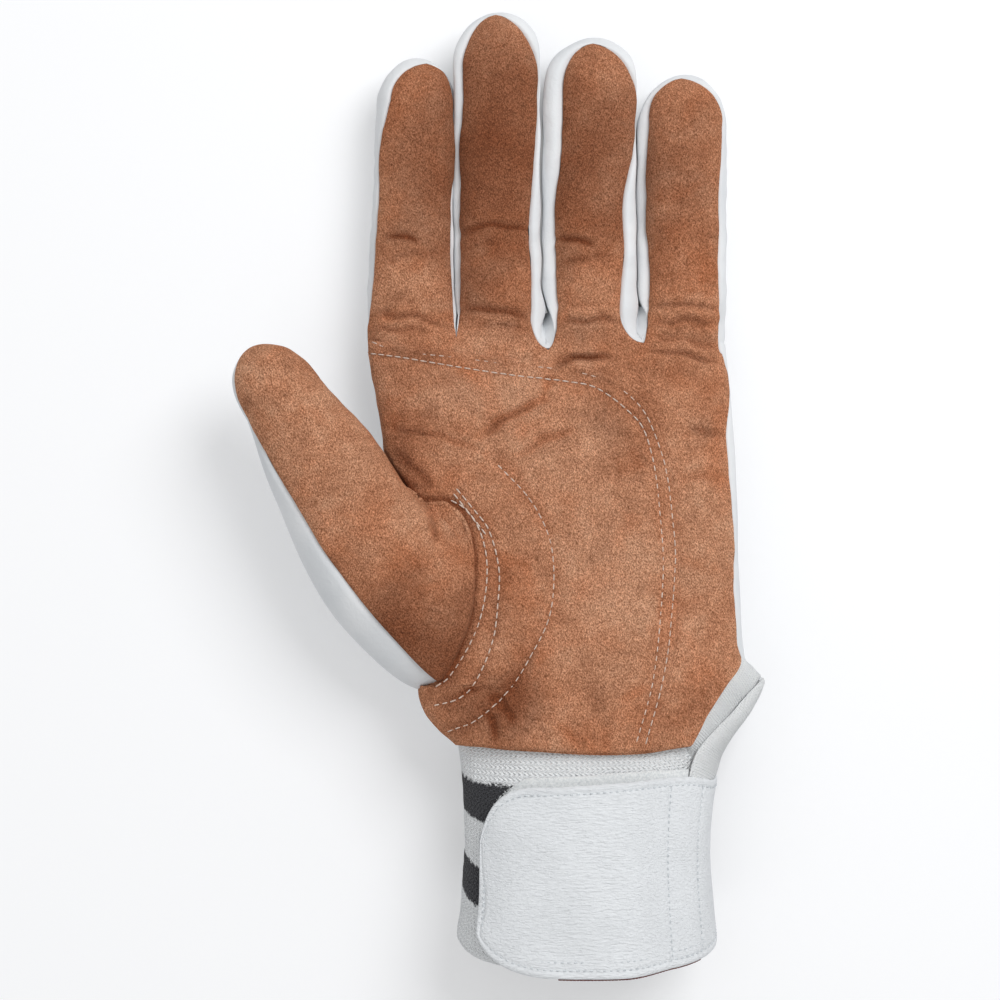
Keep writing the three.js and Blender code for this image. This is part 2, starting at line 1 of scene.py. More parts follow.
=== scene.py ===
# %% [markdown]
# # Dressing a wicket keeping inner glove
# The glove lies on its back, palm up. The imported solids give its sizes, its hinges and its place on the
# table, and this lesson replaces each soft solid by a surface that looks sewn: suede palm and finger fronts,
# white leather backs and side strips, a knitted cuff and a leather strap.

# %% Load the frame
import json

import bmesh
import bpy
import numpy as np
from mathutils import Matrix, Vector


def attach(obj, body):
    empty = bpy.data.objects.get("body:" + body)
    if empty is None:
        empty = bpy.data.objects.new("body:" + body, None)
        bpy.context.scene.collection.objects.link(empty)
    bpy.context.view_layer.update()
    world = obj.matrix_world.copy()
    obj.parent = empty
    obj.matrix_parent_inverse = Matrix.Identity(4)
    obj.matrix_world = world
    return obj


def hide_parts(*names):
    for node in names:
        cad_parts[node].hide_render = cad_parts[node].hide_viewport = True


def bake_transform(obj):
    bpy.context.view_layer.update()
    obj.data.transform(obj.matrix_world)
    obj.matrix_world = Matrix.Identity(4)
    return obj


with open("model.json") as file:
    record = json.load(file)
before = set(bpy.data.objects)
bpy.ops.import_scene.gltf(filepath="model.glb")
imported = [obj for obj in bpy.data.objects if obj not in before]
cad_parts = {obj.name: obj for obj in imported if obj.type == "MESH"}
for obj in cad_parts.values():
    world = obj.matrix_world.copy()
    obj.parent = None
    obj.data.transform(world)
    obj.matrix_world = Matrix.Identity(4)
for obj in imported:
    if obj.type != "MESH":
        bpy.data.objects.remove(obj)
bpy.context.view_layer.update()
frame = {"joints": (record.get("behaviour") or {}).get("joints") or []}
hinges = {joint["child"]: np.array(joint["pos_m"]) for joint in frame["joints"]}

# %% [markdown]
# ## Camera, floor and light
# The glove is seen from straight above, from about 0.6 m. One large soft lamp above the fingertips on the
# little finger's side, a weaker one across from it and a pale room give the gentle shading of a studio table.
# The floor is matt and pale. For the camera and for reflections only, it adds a little light of its own, so that
# it reads as white and keeps a shadow.

# %% Camera
MM = 0.001
scene = bpy.context.scene
scene.view_settings.view_transform = "Standard"
camera = bpy.data.objects.new("camera", bpy.data.cameras.new("camera"))
scene.collection.objects.link(camera)
camera.location = (-0.00014, -0.00434, 0.6195)
camera.data.lens = 81.3
scene.camera = camera
print("camera at", tuple(camera.location))

# %% Colours and nodes
def linear(code):
    """Linear colour of an sRGB hex value: the power curve of the sRGB standard, with full opacity."""
    srgb = np.array([int(code[i:i + 2], 16) for i in (1, 3, 5)]) / 255
    levels = np.where(srgb <= 0.04045, srgb / 12.92, ((srgb + 0.055) / 1.055) ** 2.4)
    return (*levels.tolist(), 1.0)


def add(tree, kind, inputs=None, stops=(), take=0, **settings):
    """Adds one shader node and hands back an output: settings are its properties, inputs are values or sockets to
    link, stops are those of a ramp, and take names the output."""
    made = tree.nodes.new("ShaderNode" + kind)
    for key, value in settings.items():
        setattr(made, key, value)
    for key, value in (inputs or {}).items():
        if isinstance(value, bpy.types.NodeSocket):
            tree.links.new(value, made.inputs[key])
        else:
            made.inputs[key].default_value = value
    for n, (place, colour) in enumerate(stops):
        elements = made.color_ramp.elements
        element = elements[n] if n < len(elements) else elements.new(1.0)
        element.position = place
        element.color = colour if isinstance(colour, tuple) else (colour, colour, colour, 1.0)
    return made.outputs[take] if len(made.outputs) else None


def new_material(name):
    """An empty node material and its tree."""
    made = bpy.data.materials.new(name)
    made.use_nodes = True
    made.node_tree.nodes.clear()
    return made, made.node_tree


WHITE = linear("#ffffff")
print("white is", WHITE)

# %% Floor and room
FLOOR_GLOW, ROOM_LIGHT, ROOM_SEEN = 0.26, 0.52, 1.0  # strengths
floor_mesh = bpy.data.meshes.new("floor")
floor_mesh.from_pydata([(-3, -3, 0), (3, -3, 0), (3, 3, 0), (-3, 3, 0)], [], [(0, 1, 2, 3)])
floor = bpy.data.objects.new("floor", floor_mesh)
floor.location.z = -0.0002
scene.collection.objects.link(floor)
paper, tree = new_material("matt_paper_floor")
camera_ray, glossy_ray = (add(tree, "LightPath", take=ray) for ray in ("Is Camera Ray", "Is Glossy Ray"))
seen = add(tree, "Math", {0: camera_ray, 1: glossy_ray}, operation="MAXIMUM")
glow = add(tree, "Math", {0: seen, 1: FLOOR_GLOW}, operation="MULTIPLY")
lit = add(tree, "Emission", {"Color": WHITE, "Strength": glow})
matt = add(tree, "BsdfDiffuse", {"Color": linear("#dfe0e2")})
add(tree, "OutputMaterial", {"Surface": add(tree, "AddShader", {0: matt, 1: lit})})
floor_mesh.materials.append(paper)

room = bpy.data.worlds.new("pale_room")
room.use_nodes = True
tree = room.node_tree
tree.nodes.clear()
strength = add(tree, "MapRange", {"Value": add(tree, "LightPath", take="Is Camera Ray"), "To Min": ROOM_LIGHT,
                                  "To Max": ROOM_SEEN})
add(tree, "OutputWorld", {"Surface": add(tree, "Background", {"Color": WHITE, "Strength": strength})})
scene.world = room
print("room lights with", ROOM_LIGHT, "and shows as", ROOM_SEEN)

# %% Lamps
def lamp(name, place, aim, size, watts):
    """A square soft box: an area lamp at a place, turned towards the aim."""
    made = bpy.data.objects.new(name, bpy.data.lights.new(name, "AREA"))
    made.data.size, made.data.energy = size, watts
    made.location = place
    made.rotation_mode = "QUATERNION"
    made.rotation_quaternion = Vector(np.subtract(aim, place)).to_track_quat("-Z", "Y")
    scene.collection.objects.link(made)


AIM = (0, 0, 0.02)
lamp("soft_box_key", (0.42, 0.46, 0.80), AIM, 0.55, 5.6)
lamp("soft_box_fill", (-0.55, -0.35, 0.95), AIM, 0.9, 1.4)
print("lamps:", len(bpy.data.lights))

# %% [markdown]
# ## The glove's drawing
# The solids were drawn from sections: rounded ovals that change from the wrist to the fingertips. The same
# sizes, in millimetres from the line of the finger crotches, are written here once more, because every piece
# below is a finer surface over those sections. An oval is worked out by direction, which spreads the points
# evenly round it.

# %% Sizes
REST = 0.5  # height of the lowest leather over the table
HINGE_HEIGHT = 16.9
PALM_LENGTH, VENT_LENGTH, PALM_TOP = 107.0, 23.0, -3.0
HAND_ROUND, FINGER_ROUND, THUMB_ROUND, CUFF_ROUND = 3.0, 2.5, 2.2, 2.4
FINGER_GAP, FINGER_DEPTH, FINGERTIP = 0.9, 20.4, 15.0
FINGERS = {
    "index": dict(length=77.0, width=24.2, tip=21.4, lean=1.5),
    "middle": dict(length=89.3, width=23.6, tip=23.6, lean=-0.4),
    "ring": dict(length=82.5, width=24.4, tip=24.4, lean=0.0),
    "little": dict(length=72.5, width=22.3, tip=22.3, lean=0.2),
}
NAMES = list(FINGERS)
PALM_HALF = (sum(f["width"] for f in FINGERS.values()) + 3 * FINGER_GAP) / 2
edge = -PALM_HALF
for finger in FINGERS.values():
    finger["middle"] = edge + finger["width"] / 2
    edge += finger["width"] + FINGER_GAP
SHIFT = hinges["ring"] / MM - np.array([FINGERS["ring"]["middle"], 0, HINGE_HEIGHT])
print("palm half width", round(PALM_HALF, 2), "mm, shift", SHIFT.round(3))

# %% Curves and ovals
def mix(a, b, share):
    """Straight blend from a to b."""
    return a + (b - a) * share


def smooth(low, high, value):
    """S-shaped step: 0 before low, 1 after high, with level ends."""
    t = np.clip((value - low) / (high - low), 0.0, 1.0)
    return t * t * (3.0 - 2.0 * t)


def through(stations, at):
    """Smooth curve through (place, value) stations: cubic pieces whose slopes come from the neighbours."""
    places, values = np.array(stations, float).T
    n = np.arange(len(places))
    before, after = np.maximum(n - 1, 0), np.minimum(n + 1, len(places) - 1)
    slopes = (values[after] - values[before]) / (places[after] - places[before])
    at = np.clip(at, places[0], places[-1])
    k = np.clip(np.searchsorted(places, at, side="right") - 1, 0, len(places) - 2)
    span = places[k + 1] - places[k]
    s = (at - places[k]) / span
    bend = slopes[k] * span * s * (1 - s) ** 2 - slopes[k + 1] * span * s * s * (1 - s)
    return mix(values[k], values[k + 1], s * s * (3 - 2 * s)) + bend


def oval(direction, roundness):
    """Unit rounded oval in a direction: cosine and sine over the root of the sum of their powers."""
    c, s = np.cos(direction), np.sin(direction)
    reach = (np.abs(c) ** roundness + np.abs(s) ** roundness) ** (-1 / roundness)
    return c * reach, s * reach


def towards(share, roundness):
    """Direction in which the upper half of an oval stands at a share of its half width."""
    share = np.clip(share, -1.0, 1.0)
    return np.arctan2((1 - np.abs(share) ** roundness) ** (1 / roundness), share)


def turned(degrees, roundness):
    """Direction of the oval's point that the drawing gives by its angle of construction."""
    a = np.radians(degrees)
    c, s = np.cos(a), np.sin(a)
    power = 2 / roundness
    found = np.arctan2(np.sign(s) * np.abs(s) ** power, np.sign(c) * np.abs(c) ** power)
    return found + 2 * np.pi * np.round((a - found) / (2 * np.pi))


def points(x, y, z):
    """Stacks coordinates of any shapes that fit together to an array of points."""
    return np.stack(np.broadcast_arrays(x, y, z), -1)


print("a rounded oval reaches", round(float(np.hypot(*oval(np.pi / 4, HAND_ROUND))), 2), "in its corners")

# %% Hand sections
VENT_TOP = VENT_LENGTH - PALM_LENGTH
SEAM_Y, SEAM_SPAN, SEAM_RADIUS, SEAM_REACH = 41.0 - PALM_LENGTH, 48.0, 34.3, 29.5
SEAM_LOW, SEAM_HIGH = SEAM_Y - SEAM_SPAN / 2, SEAM_Y + SEAM_SPAN / 2
WEB_Y = -29.0
HAND_LEFT = [(-PALM_LENGTH, -24.05), (-101.7, -29.2), (-96.5, -33.0), (SEAM_LOW, 14.5 - PALM_HALF),
             (WEB_Y, 5.2 - PALM_HALF), (0, -PALM_HALF)]
HAND_RIGHT = [(-PALM_LENGTH, 47.45), (VENT_TOP - 7, PALM_HALF + 9), (VENT_TOP, PALM_HALF + 4.4),
              (WEB_Y, PALM_HALF + 2.2), (0, PALM_HALF)]
HAND_DEPTH = [(-PALM_LENGTH, 36), (SEAM_Y, 29), (0, 20.8)]
ULNAR_SEAM = turned(20, HAND_ROUND)


def hand_point(y, direction):
    """Point of the hand's oval at y: half widths and depth follow the drawing's stations, flat on the table."""
    left, right, half = through(HAND_LEFT, y), through(HAND_RIGHT, y), through(HAND_DEPTH, y) / 2
    c, s = oval(direction, HAND_ROUND)
    return points((left + right) / 2 + (right - left) / 2 * c, y, np.maximum(half * (1 + s), REST))


def hand_towards(y, x):
    """Direction of the palm point over x in the hand's section at y."""
    left, right = through(HAND_LEFT, y), through(HAND_RIGHT, y)
    return towards((x - (left + right) / 2) / ((right - left) / 2), HAND_ROUND)


def arc_x(y):
    """Thumb seam on the palm: a circular arc that bulges towards the little finger's side."""
    rise = np.sqrt(np.maximum(SEAM_RADIUS ** 2 - (y - SEAM_Y) ** 2, 0))
    return -PALM_HALF + SEAM_REACH - SEAM_RADIUS + rise


PALM_EDGE = [(SEAM_LOW, arc_x(SEAM_LOW)), (-86, arc_x(-86.0) - 2.4), (-78, arc_x(-78.0) - 4), (-64, arc_x(-64.0) - 4.5),
             (-52, -28.1), (-46, -32.5), (-40, -37.2), (-34, -40.8), (WEB_Y, 5.2 - PALM_HALF)]


def palm_left(y):
    """Thumb-side edge of the palm: the hand's side, cut back under the thumb that is sewn over it."""
    heel = mix(arc_x(SEAM_LOW), through(HAND_LEFT, SEAM_LOW - 1.4), np.clip((SEAM_LOW - y) / 1.4, 0, 1))
    inner = np.where(y < SEAM_LOW, heel, through(PALM_EDGE, y))
    return np.where((y >= WEB_Y) | (y <= SEAM_LOW - 1.4), through(HAND_LEFT, y), inner)


print("thumb seam from y", SEAM_LOW, "to", SEAM_HIGH)

# %% Thumb and finger sections
THUMB_LENGTH, THUMB_TIP, THUMB_HINGE = 74.0, 16.0, 26.0
THUMB_TURN = np.radians(30)
THUMB_ROOT = np.array([9 - PALM_HALF, SEAM_Y, 0])


def dome(t, length, tip):
    """Share of the section left at t: all of it up to the tip, which closes along a quarter circle."""
    return np.sqrt(np.maximum(1 - np.maximum((t - length + tip) / tip, 0) ** 2, 0))


def thumb_size(t):
    """Half width, half depth and height of the thumb's oval at t along its axis."""
    share = np.clip(t / (THUMB_LENGTH - THUMB_TIP), 0, 1)
    return mix(39, 22.0, share ** 1.4) / 2, mix(26, 21, share ** 2) / 2, 24 + 5 * t / THUMB_LENGTH


def thumb_point(t, direction):
    """Point of the thumb: an oval that closes over a round tip, on an axis turned from the fingers."""
    wide, deep, height = thumb_size(t)
    left = dome(t, THUMB_LENGTH, THUMB_TIP)
    c, s = oval(direction, THUMB_ROUND)
    x = wide * left * c - 0.5 * smooth(20, 60, t) - 0.9 * smooth(58, 74, t)
    x, z = x - 1.6 * smooth(0, 1, c) * np.exp(-((t - 18) / 12) ** 2), height + deep * left * s
    cos, sin = np.cos(THUMB_TURN), np.sin(THUMB_TURN)
    return points(x * cos - t * sin, x * sin + t * cos, z) + THUMB_ROOT


def finger_axis(finger, t):
    """Middle of a finger at t, and the half width there of the oval that closes over the tip."""
    f = FINGERS[finger]
    full = mix(f["width"], f["tip"], np.clip(t / (f["length"] - FINGERTIP), 0, 1)) / 2
    return f["middle"] + t * np.sin(np.radians(f["lean"])), full * dome(t, f["length"], FINGERTIP)


def finger_point(finger, t, direction):
    """Point of a finger stall: an oval that closes over a round tip, turned by the finger's lean."""
    f = FINGERS[finger]
    c, s = oval(direction, FINGER_ROUND)
    x = finger_axis(finger, t)[1] * c
    z = np.maximum(FINGER_DEPTH / 2 * (1 + dome(t, f["length"], FINGERTIP) * s), REST)
    cos, sin = np.cos(np.radians(f["lean"])), np.sin(np.radians(f["lean"]))
    return points(f["middle"] + x * cos + t * sin, t * cos - x * sin, z)


print("thumb", THUMB_LENGTH, "mm, fingers", [f["length"] for f in FINGERS.values()], "mm")

# %% [markdown]
# ## From grids to meshes
# Each piece is a sheet: a grid of points for its face, the same grid moved inwards by the leather's thickness,
# and strips that close the borders. A border may be rolled, which sinks it along a quarter circle, as leather
# does where it turns into a seam. Where a grid ends in one point, as at a fingertip, the doubles are merged.

# %% Grid tools
def normals_of(grid):
    """Outward unit normals of a grid whose columns turn from the little finger's side over the palm."""
    across, along = np.gradient(grid, axis=1), np.gradient(grid, axis=0)
    normal = np.cross(along, across)
    length = np.linalg.norm(normal, axis=2, keepdims=True)
    normal = normal / np.maximum(length, 1e-9)
    flat = length[:, :, 0].max(axis=1) < 1e-6
    normal[flat] = normal[np.maximum(np.flatnonzero(flat) - 1, 0)].mean(axis=1, keepdims=True)
    return normal


def run(grid, axis):
    """Length along the grid up to each point, down the columns for axis 0 or along the rows for axis 1."""
    return np.linalg.norm(np.diff(grid, axis=axis, prepend=np.take(grid, [0], axis)), axis=2).cumsum(axis)


def rolled(grid, sides, depth, width):
    """How far each point sinks near the named borders: a quarter circle of that depth over that width."""
    wide, tall = run(grid, 1), run(grid, 0)
    away = {"first": wide, "last": wide[:, -1:] - wide, "low": tall, "high": tall[-1:] - tall}
    into = np.clip(1 - np.min([away[side] for side in sides], axis=0) / width, 0, 1)
    return depth * (1 - np.sqrt(1 - into ** 2))


def grid_quads(rows, columns):
    """Corner numbers of each cell of a grid that is numbered row by row."""
    n = np.arange(rows * columns).reshape(rows, columns)
    return np.stack([n[:-1, :-1], n[:-1, 1:], n[1:, 1:], n[1:, :-1]], -1).reshape(-1, 4)


def cells(length, spacing):
    """Number of grid steps of about that spacing along a length."""
    return max(int(round(length / spacing)), 2)


print("cells of a 3 by 3 grid:", len(grid_quads(3, 3)))

# %% Sheets
MERGE, SHARP = 2e-6, np.radians(55)  # metres, and the angle above which an edge is drawn sharp


def new_object(name, mesh, material):
    """Smooth-shaded object of a mesh, in the scene."""
    mesh.shade_smooth()
    mesh.materials.append(material)
    made = bpy.data.objects.new(name, mesh)
    scene.collection.objects.link(made)
    return made


def finish_mesh(name, place, faces, material, uv=None, marks=None):
    """Makes an object of points in millimetres: sets UV and marks, merges doubles and turns the faces outwards."""
    mesh = bpy.data.meshes.new(name)
    mesh.from_pydata(((place + SHIFT) * MM).tolist(), [], faces.tolist())
    corner = np.zeros(len(mesh.loops), np.int32)
    mesh.loops.foreach_get("vertex_index", corner)
    if uv is not None:
        mesh.uv_layers.new(name="cut").data.foreach_set("uv", uv[corner].astype(np.float32).ravel())
    for key, value in (marks or {}).items():
        mesh.attributes.new(key, "FLOAT", "POINT").data.foreach_set("value", value.astype(np.float32).ravel())
    shape = bmesh.new()
    shape.from_mesh(mesh)
    bmesh.ops.remove_doubles(shape, verts=shape.verts, dist=MERGE)
    bmesh.ops.dissolve_degenerate(shape, edges=shape.edges, dist=1e-7)
    if shape.calc_volume(signed=True) < 0:
        bmesh.ops.reverse_faces(shape, faces=shape.faces)
    shape.to_mesh(mesh)
    shape.free()
    made = new_object(name, mesh, material)
    mesh.set_sharp_from_angle(angle=SHARP)
    return made


def sheet(name, face, thickness, material, uv=None, marks=None, normal=None):
    """Closed sheet under a face grid: the underside is the face moved in by the thickness, the rim joins them."""
    rows, columns = face.shape[:2]
    normal = normals_of(face) if normal is None else normal
    under = face - normal * thickness
    count = rows * columns
    n = np.arange(count).reshape(rows, columns)
    border = np.concatenate([n[0, :-1], n[:-1, -1], n[-1, :0:-1], n[:0:-1, 0]])
    after = np.roll(border, -1)
    quads = grid_quads(rows, columns)
    rim = np.stack([after, border, border + count, after + count], -1)
    faces = np.concatenate([quads, quads[:, ::-1] + count, rim])
    place = np.concatenate([face.reshape(-1, 3), under.reshape(-1, 3)])
    twice = lambda values, size: np.concatenate([values.reshape(-1, size)] * 2)
    uv = None if uv is None else twice(uv, 2)
    marks = {key: twice(value, 1) for key, value in (marks or {}).items()}
    return finish_mesh(name, place, faces, material, uv, marks)


print("sheets merge points closer than", MERGE / MM, "mm")

# %% [markdown]
# ## Finishes
# Suede is the fleshy side of leather, sanded to a short nap: matt, blotchy where the nap lies another way,
# with specks about half a millimetre wide and a soft sheen at grazing angles. Painted shade darkens and reddens folds.
# The white leather is coated split leather with a fine grain; the strap's coating is pressed with short
# cross wrinkles. The cuff is a jersey knit, the fastener a loop pile, the thread a twisted cotton.

# %% Suede
BROAD, WARM, BLOTCH, NAP, SPECK = 26, 17, 6.5, 1.8, 0.38  # sizes in millimetres; real nap is finer and wouldn't show
FLECK_DARK, FLECK_LIGHT = (0.36, 0.27, 0.22, 1), (1.8, 1.98, 2.2, 1)  # factors on the colour


def suede_finish(name, *codes):
    """Napped suede in a light, a middle, a dark and a red tone: three sizes of blotch, nap specks, a fold mark that
    darkens and reddens above 0 and lightens below it, and bump. Above 0 the mark is painted shade in creases and
    stitched valleys, painted shadow beside the thumb, and nap that lies down where the glove is handled; below 0 it is
    nap brushed up, and painted highlight on the lips of the thumb's creases."""
    made, tree = new_material(name)
    light, middle, dark, red = map(linear, codes)
    colours = dict(take=2, data_type="RGBA")
    place = add(tree, "TexCoord", take="Object")
    fold = add(tree, "Attribute", take="Fac", attribute_name="fold")
    broad = add(tree, "TexNoise", {"Vector": place, "Scale": 1 / (BROAD * MM), "Detail": 3.0, "Roughness": 0.6})
    blotch = add(tree, "TexNoise", {"Vector": place, "Scale": 1 / (BLOTCH * MM), "Detail": 4.0, "Roughness": 0.65})
    warm = add(tree, "TexNoise", {"Vector": place, "Scale": 1 / (WARM * MM), "Detail": 3.0, "Distortion": 0.8})
    lean = add(tree, "Mapping", {"Vector": place, "Rotation": (0, 0, 0.5), "Scale": (1.15, 0.8, 1.0)})
    speck = add(tree, "TexNoise", {"Vector": lean, "Scale": 1 / (SPECK * MM), "Detail": 2.0, "Roughness": 0.75})
    nap = add(tree, "TexNoise", {"Vector": place, "Scale": 1 / (NAP * MM), "Detail": 4.0, "Roughness": 0.8})
    tone = add(tree, "Math", {0: broad, 1: 0.55}, operation="MULTIPLY")
    tone = add(tree, "Math", {0: blotch, 1: 0.45, 2: tone}, operation="MULTIPLY_ADD")
    base = add(tree, "ValToRGB", {0: tone}, [(0.14, dark), (0.5, middle), (0.86, light)])
    tint = add(tree, "MapRange", {"Value": warm, "From Min": 0.48, "From Max": 0.72, "To Max": 0.4})
    tinted = add(tree, "Mix", {0: tint, 6: base, 7: red}, **colours)
    lay = add(tree, "Math", {0: fold, 1: -1.0}, operation="MULTIPLY")
    brushed = add(tree, "Mix", {0: lay, 6: tinted, 7: light}, **colours)
    # Above 0 the fold mark darkens and reddens the suede: painted shade in creases, stitched valleys and beside the
    # thumb, and nap that lies down where handled
    deep = add(tree, "ValToRGB", {0: fold}, [(0.05, red), (0.5, dark)])
    colour = add(tree, "Mix", {0: fold, 6: brushed, 7: deep}, **colours)
    fleck = add(tree, "ValToRGB", {0: speck}, [(0.30, FLECK_DARK), (0.5, 1.0), (0.70, FLECK_LIGHT)])
    lie = add(tree, "ValToRGB", {0: nap}, [(0.34, 0.86), (0.5, 1.0), (0.66, 1.12)])
    for grain in (fleck, lie):
        colour = add(tree, "Mix", {0: 1.0, 6: colour, 7: grain}, blend_type="MULTIPLY", **colours)
    fine = add(tree, "Bump", {"Height": speck, "Strength": 0.9, "Distance": 0.4 * MM})
    coarse = add(tree, "Bump", {"Height": nap, "Strength": 0.7, "Distance": 0.6 * MM, "Normal": fine})
    skin = add(tree, "BsdfPrincipled", {
        "Base Color": colour, "Roughness": 0.95, "Specular IOR Level": 0.15, "IOR": 1.45, "Sheen Weight": 0.18,
        "Sheen Roughness": 0.6, "Sheen Tint": linear("#d9a981"), "Normal": coarse})
    add(tree, "OutputMaterial", {"Surface": skin})
    return made


# Split leather, sanded: quite matt, blotched and specked, with a soft glow where it turns away
suede = suede_finish("sanded_split_suede", "#cfa080", "#b67f5f", "#743f26", "#b3643a")
print("made", suede.name)

# %% White leather
CLOUD, PORE = 18, 0.7  # sizes in millimetres


def leather_finish(name, colour, shade, grain, stretch, depth):
    """Coated leather: faint grey clouds, pores, and a grain of that size and depth in millimetres whose cells are
    stretched across by a factor."""
    made, tree = new_material(name)
    place = add(tree, "TexCoord", take="Object")
    long = add(tree, "Mapping", {"Vector": place, "Scale": (1 / stretch, 1.0, 1.0)})
    cloud = add(tree, "TexNoise", {"Vector": place, "Scale": 1 / (CLOUD * MM), "Detail": 3.0})
    wrinkle = add(tree, "TexNoise", {"Vector": long, "Scale": 1 / (grain * MM), "Detail": 3.0, "Roughness": 0.55,
                                     "Distortion": 0.6})
    pore = add(tree, "TexVoronoi", {"Vector": place, "Scale": 1 / (PORE * MM)})
    base = add(tree, "ValToRGB", {0: cloud}, [(0.35, linear(shade)), (0.6, linear(colour))])
    folds = add(tree, "Bump", {"Height": wrinkle, "Strength": 0.8, "Distance": depth * MM})
    pores = add(tree, "Bump", {"Height": pore, "Strength": 0.25, "Distance": 0.1 * MM, "Normal": folds})
    rough = add(tree, "MapRange", {"Value": wrinkle, "To Min": 0.5, "To Max": 0.68})
    skin = add(tree, "BsdfPrincipled", {"Base Color": base, "Roughness": rough, "Specular IOR Level": 0.35, "IOR": 1.5,
                                        "Normal": pores})
    add(tree, "OutputMaterial", {"Surface": skin})
    return made


# Coated split leather: even and half matt; the strap's is pressed, which shows as short wrinkles across it
white_leather = leather_finish("coated_white_leather", "#e4e6e8", "#dadde0", 1.6, 1.0, 0.18)
strap_leather = leather_finish("pressed_white_strap_leather", "#e8ebee", "#e3e6e9", 0.5, 4.5, 0.7)
print("made", white_leather.name, "and", strap_leather.name)

# %% Knits
STRIPES = [(10.9, 20.4), (31.6, 41.0)]  # from the hem, in millimetres
FIBRE, TUFT, FRAY = 0.35, 1.1, 3.0  # sizes of fibres and of frayed tufts, and how far a stripe frays


def knit_finish(name, colour, wale, course, slope, shade, stripes=(), sideways=False):
    """Jersey knit on the flat cut, in millimetres: slanted stitch legs in wales and courses, upright or sideways,
    and black stripes with frayed edges. The low places between the legs get painted shade, down to the factor shade."""
    made, tree = new_material(name)
    cut = add(tree, "UVMap", uv_map="cut")
    axes = add(tree, "SeparateXYZ", {0: cut}).node.outputs
    across, along = axes[int(sideways)], axes[int(not sideways)]
    fray = add(tree, "TexNoise", {"Vector": cut, "Scale": 1 / TUFT, "Detail": 3.0, "Roughness": 0.7})
    fibre = add(tree, "TexNoise", {"Vector": cut, "Scale": 1 / FIBRE, "Detail": 3.0})
    wales = add(tree, "Math", {0: across, 1: 1 / wale}, operation="MULTIPLY")
    leg = add(tree, "Math", {0: wales, 1: 1.0}, operation="PINGPONG")
    slant = add(tree, "Math", {0: leg, 1: 0.8 * course, 2: along}, operation="MULTIPLY_ADD")
    turn = add(tree, "Math", {0: slant, 1: 2 * np.pi / course}, operation="MULTIPLY")
    rope = add(tree, "Math", {0: turn}, operation="SINE")
    half_turn = add(tree, "Math", {0: leg, 1: np.pi}, operation="MULTIPLY")
    rib = add(tree, "Math", {0: half_turn}, operation="SINE")
    height = add(tree, "Math", {0: rope, 1: slope, 2: rib}, operation="MULTIPLY_ADD")
    yarn = add(tree, "ValToRGB", {0: fibre}, [(0.3, linear("#e4e8eb")), (0.6, linear(colour))])
    # Painted shade: the knit is darker where its relief is low, down to the factor shade
    deep = add(tree, "MapRange", {"Value": height, "From Min": -0.8, "From Max": 1.0, "To Min": shade, "To Max": 1.0})
    cloth = add(tree, "Mix", {0: 1.0, 6: yarn, 7: deep}, take=2, data_type="RGBA", blend_type="MULTIPLY")
    black = add(tree, "ValToRGB", {0: fibre}, [(0.35, linear("#1d1d20")), (0.7, linear("#55565a"))])
    ragged = add(tree, "Math", {0: fray, 1: FRAY, 2: axes[1]}, operation="MULTIPLY_ADD")
    for low, high in stripes:
        off = add(tree, "Math", {0: ragged, 1: (low + high + FRAY) / 2}, operation="SUBTRACT")
        away = add(tree, "Math", {0: off}, operation="ABSOLUTE")
        half = (high - low) / 2
        inside = add(tree, "MapRange", {"Value": away, "From Min": half - 0.3, "From Max": half + 0.3, "To Min": 1.0,
                                        "To Max": 0.0})
        cloth = add(tree, "Mix", {0: inside, 6: cloth, 7: black}, take=2, data_type="RGBA")
    loops = add(tree, "Bump", {"Height": height, "Strength": 0.7, "Distance": 0.25 * MM})
    fuzz = add(tree, "Bump", {"Height": fibre, "Strength": 0.5, "Distance": 0.2 * MM, "Normal": loops})
    fabric = add(tree, "BsdfPrincipled", {"Base Color": cloth, "Roughness": 0.95, "Specular IOR Level": 0.2,
                                          "Sheen Weight": 0.1, "Normal": fuzz})
    add(tree, "OutputMaterial", {"Surface": fabric})
    return made


# Jersey of cotton and elastic: matt rows of slanted legs; the tape is knitted finer, so its ribs show instead
cuff_knit = knit_finish("elastic_jersey_knit", "#f9fbfc", 0.75, 1.35, 1.1, 0.90, STRIPES, sideways=True)
tape_knit = knit_finish("ribbed_binding_knit", "#f7f8f8", 0.37, 0.9, 0.25, 0.72, sideways=True)
lining_knit = knit_finish("cotton_jersey_lining", "#d9d9d6", 0.8, 0.6, 0.6, 0.8)
print("stripes from the hem:", STRIPES, "mm")

# %% Thread, foam and pile
def fibre_finish(name, colour, shade, size, rough):
    """Fine fibre or foam: two tones on a noise of that size in millimetres, with bump of a third of it."""
    made, tree = new_material(name)
    place = add(tree, "TexCoord", take="Object")
    grain = add(tree, "TexNoise", {"Vector": place, "Scale": 1 / (size * MM), "Detail": 3.0, "Roughness": 0.7})
    base = add(tree, "ValToRGB", {0: grain}, [(0.35, linear(shade)), (0.62, linear(colour))])
    bump = add(tree, "Bump", {"Height": grain, "Strength": 0.6, "Distance": size * MM / 3})
    soft = add(tree, "BsdfPrincipled", {"Base Color": base, "Roughness": rough, "Specular IOR Level": 0.25,
                                        "Normal": bump})
    add(tree, "OutputMaterial", {"Surface": soft})
    return made


# Spun cotton and bonded thread: matt to half matt, mottled by the twist, which is drawn coarser than it is
thread = fibre_finish("twisted_cotton_thread", "#e6d6ca", "#b89a87", 0.4, 0.8)
white_thread = fibre_finish("bonded_white_thread", "#dce0e3", "#bcc2c6", 0.4, 0.7)
hem_thread = fibre_finish("red_brown_hem_thread", "#7a4a44", "#5a322e", 0.4, 0.85)
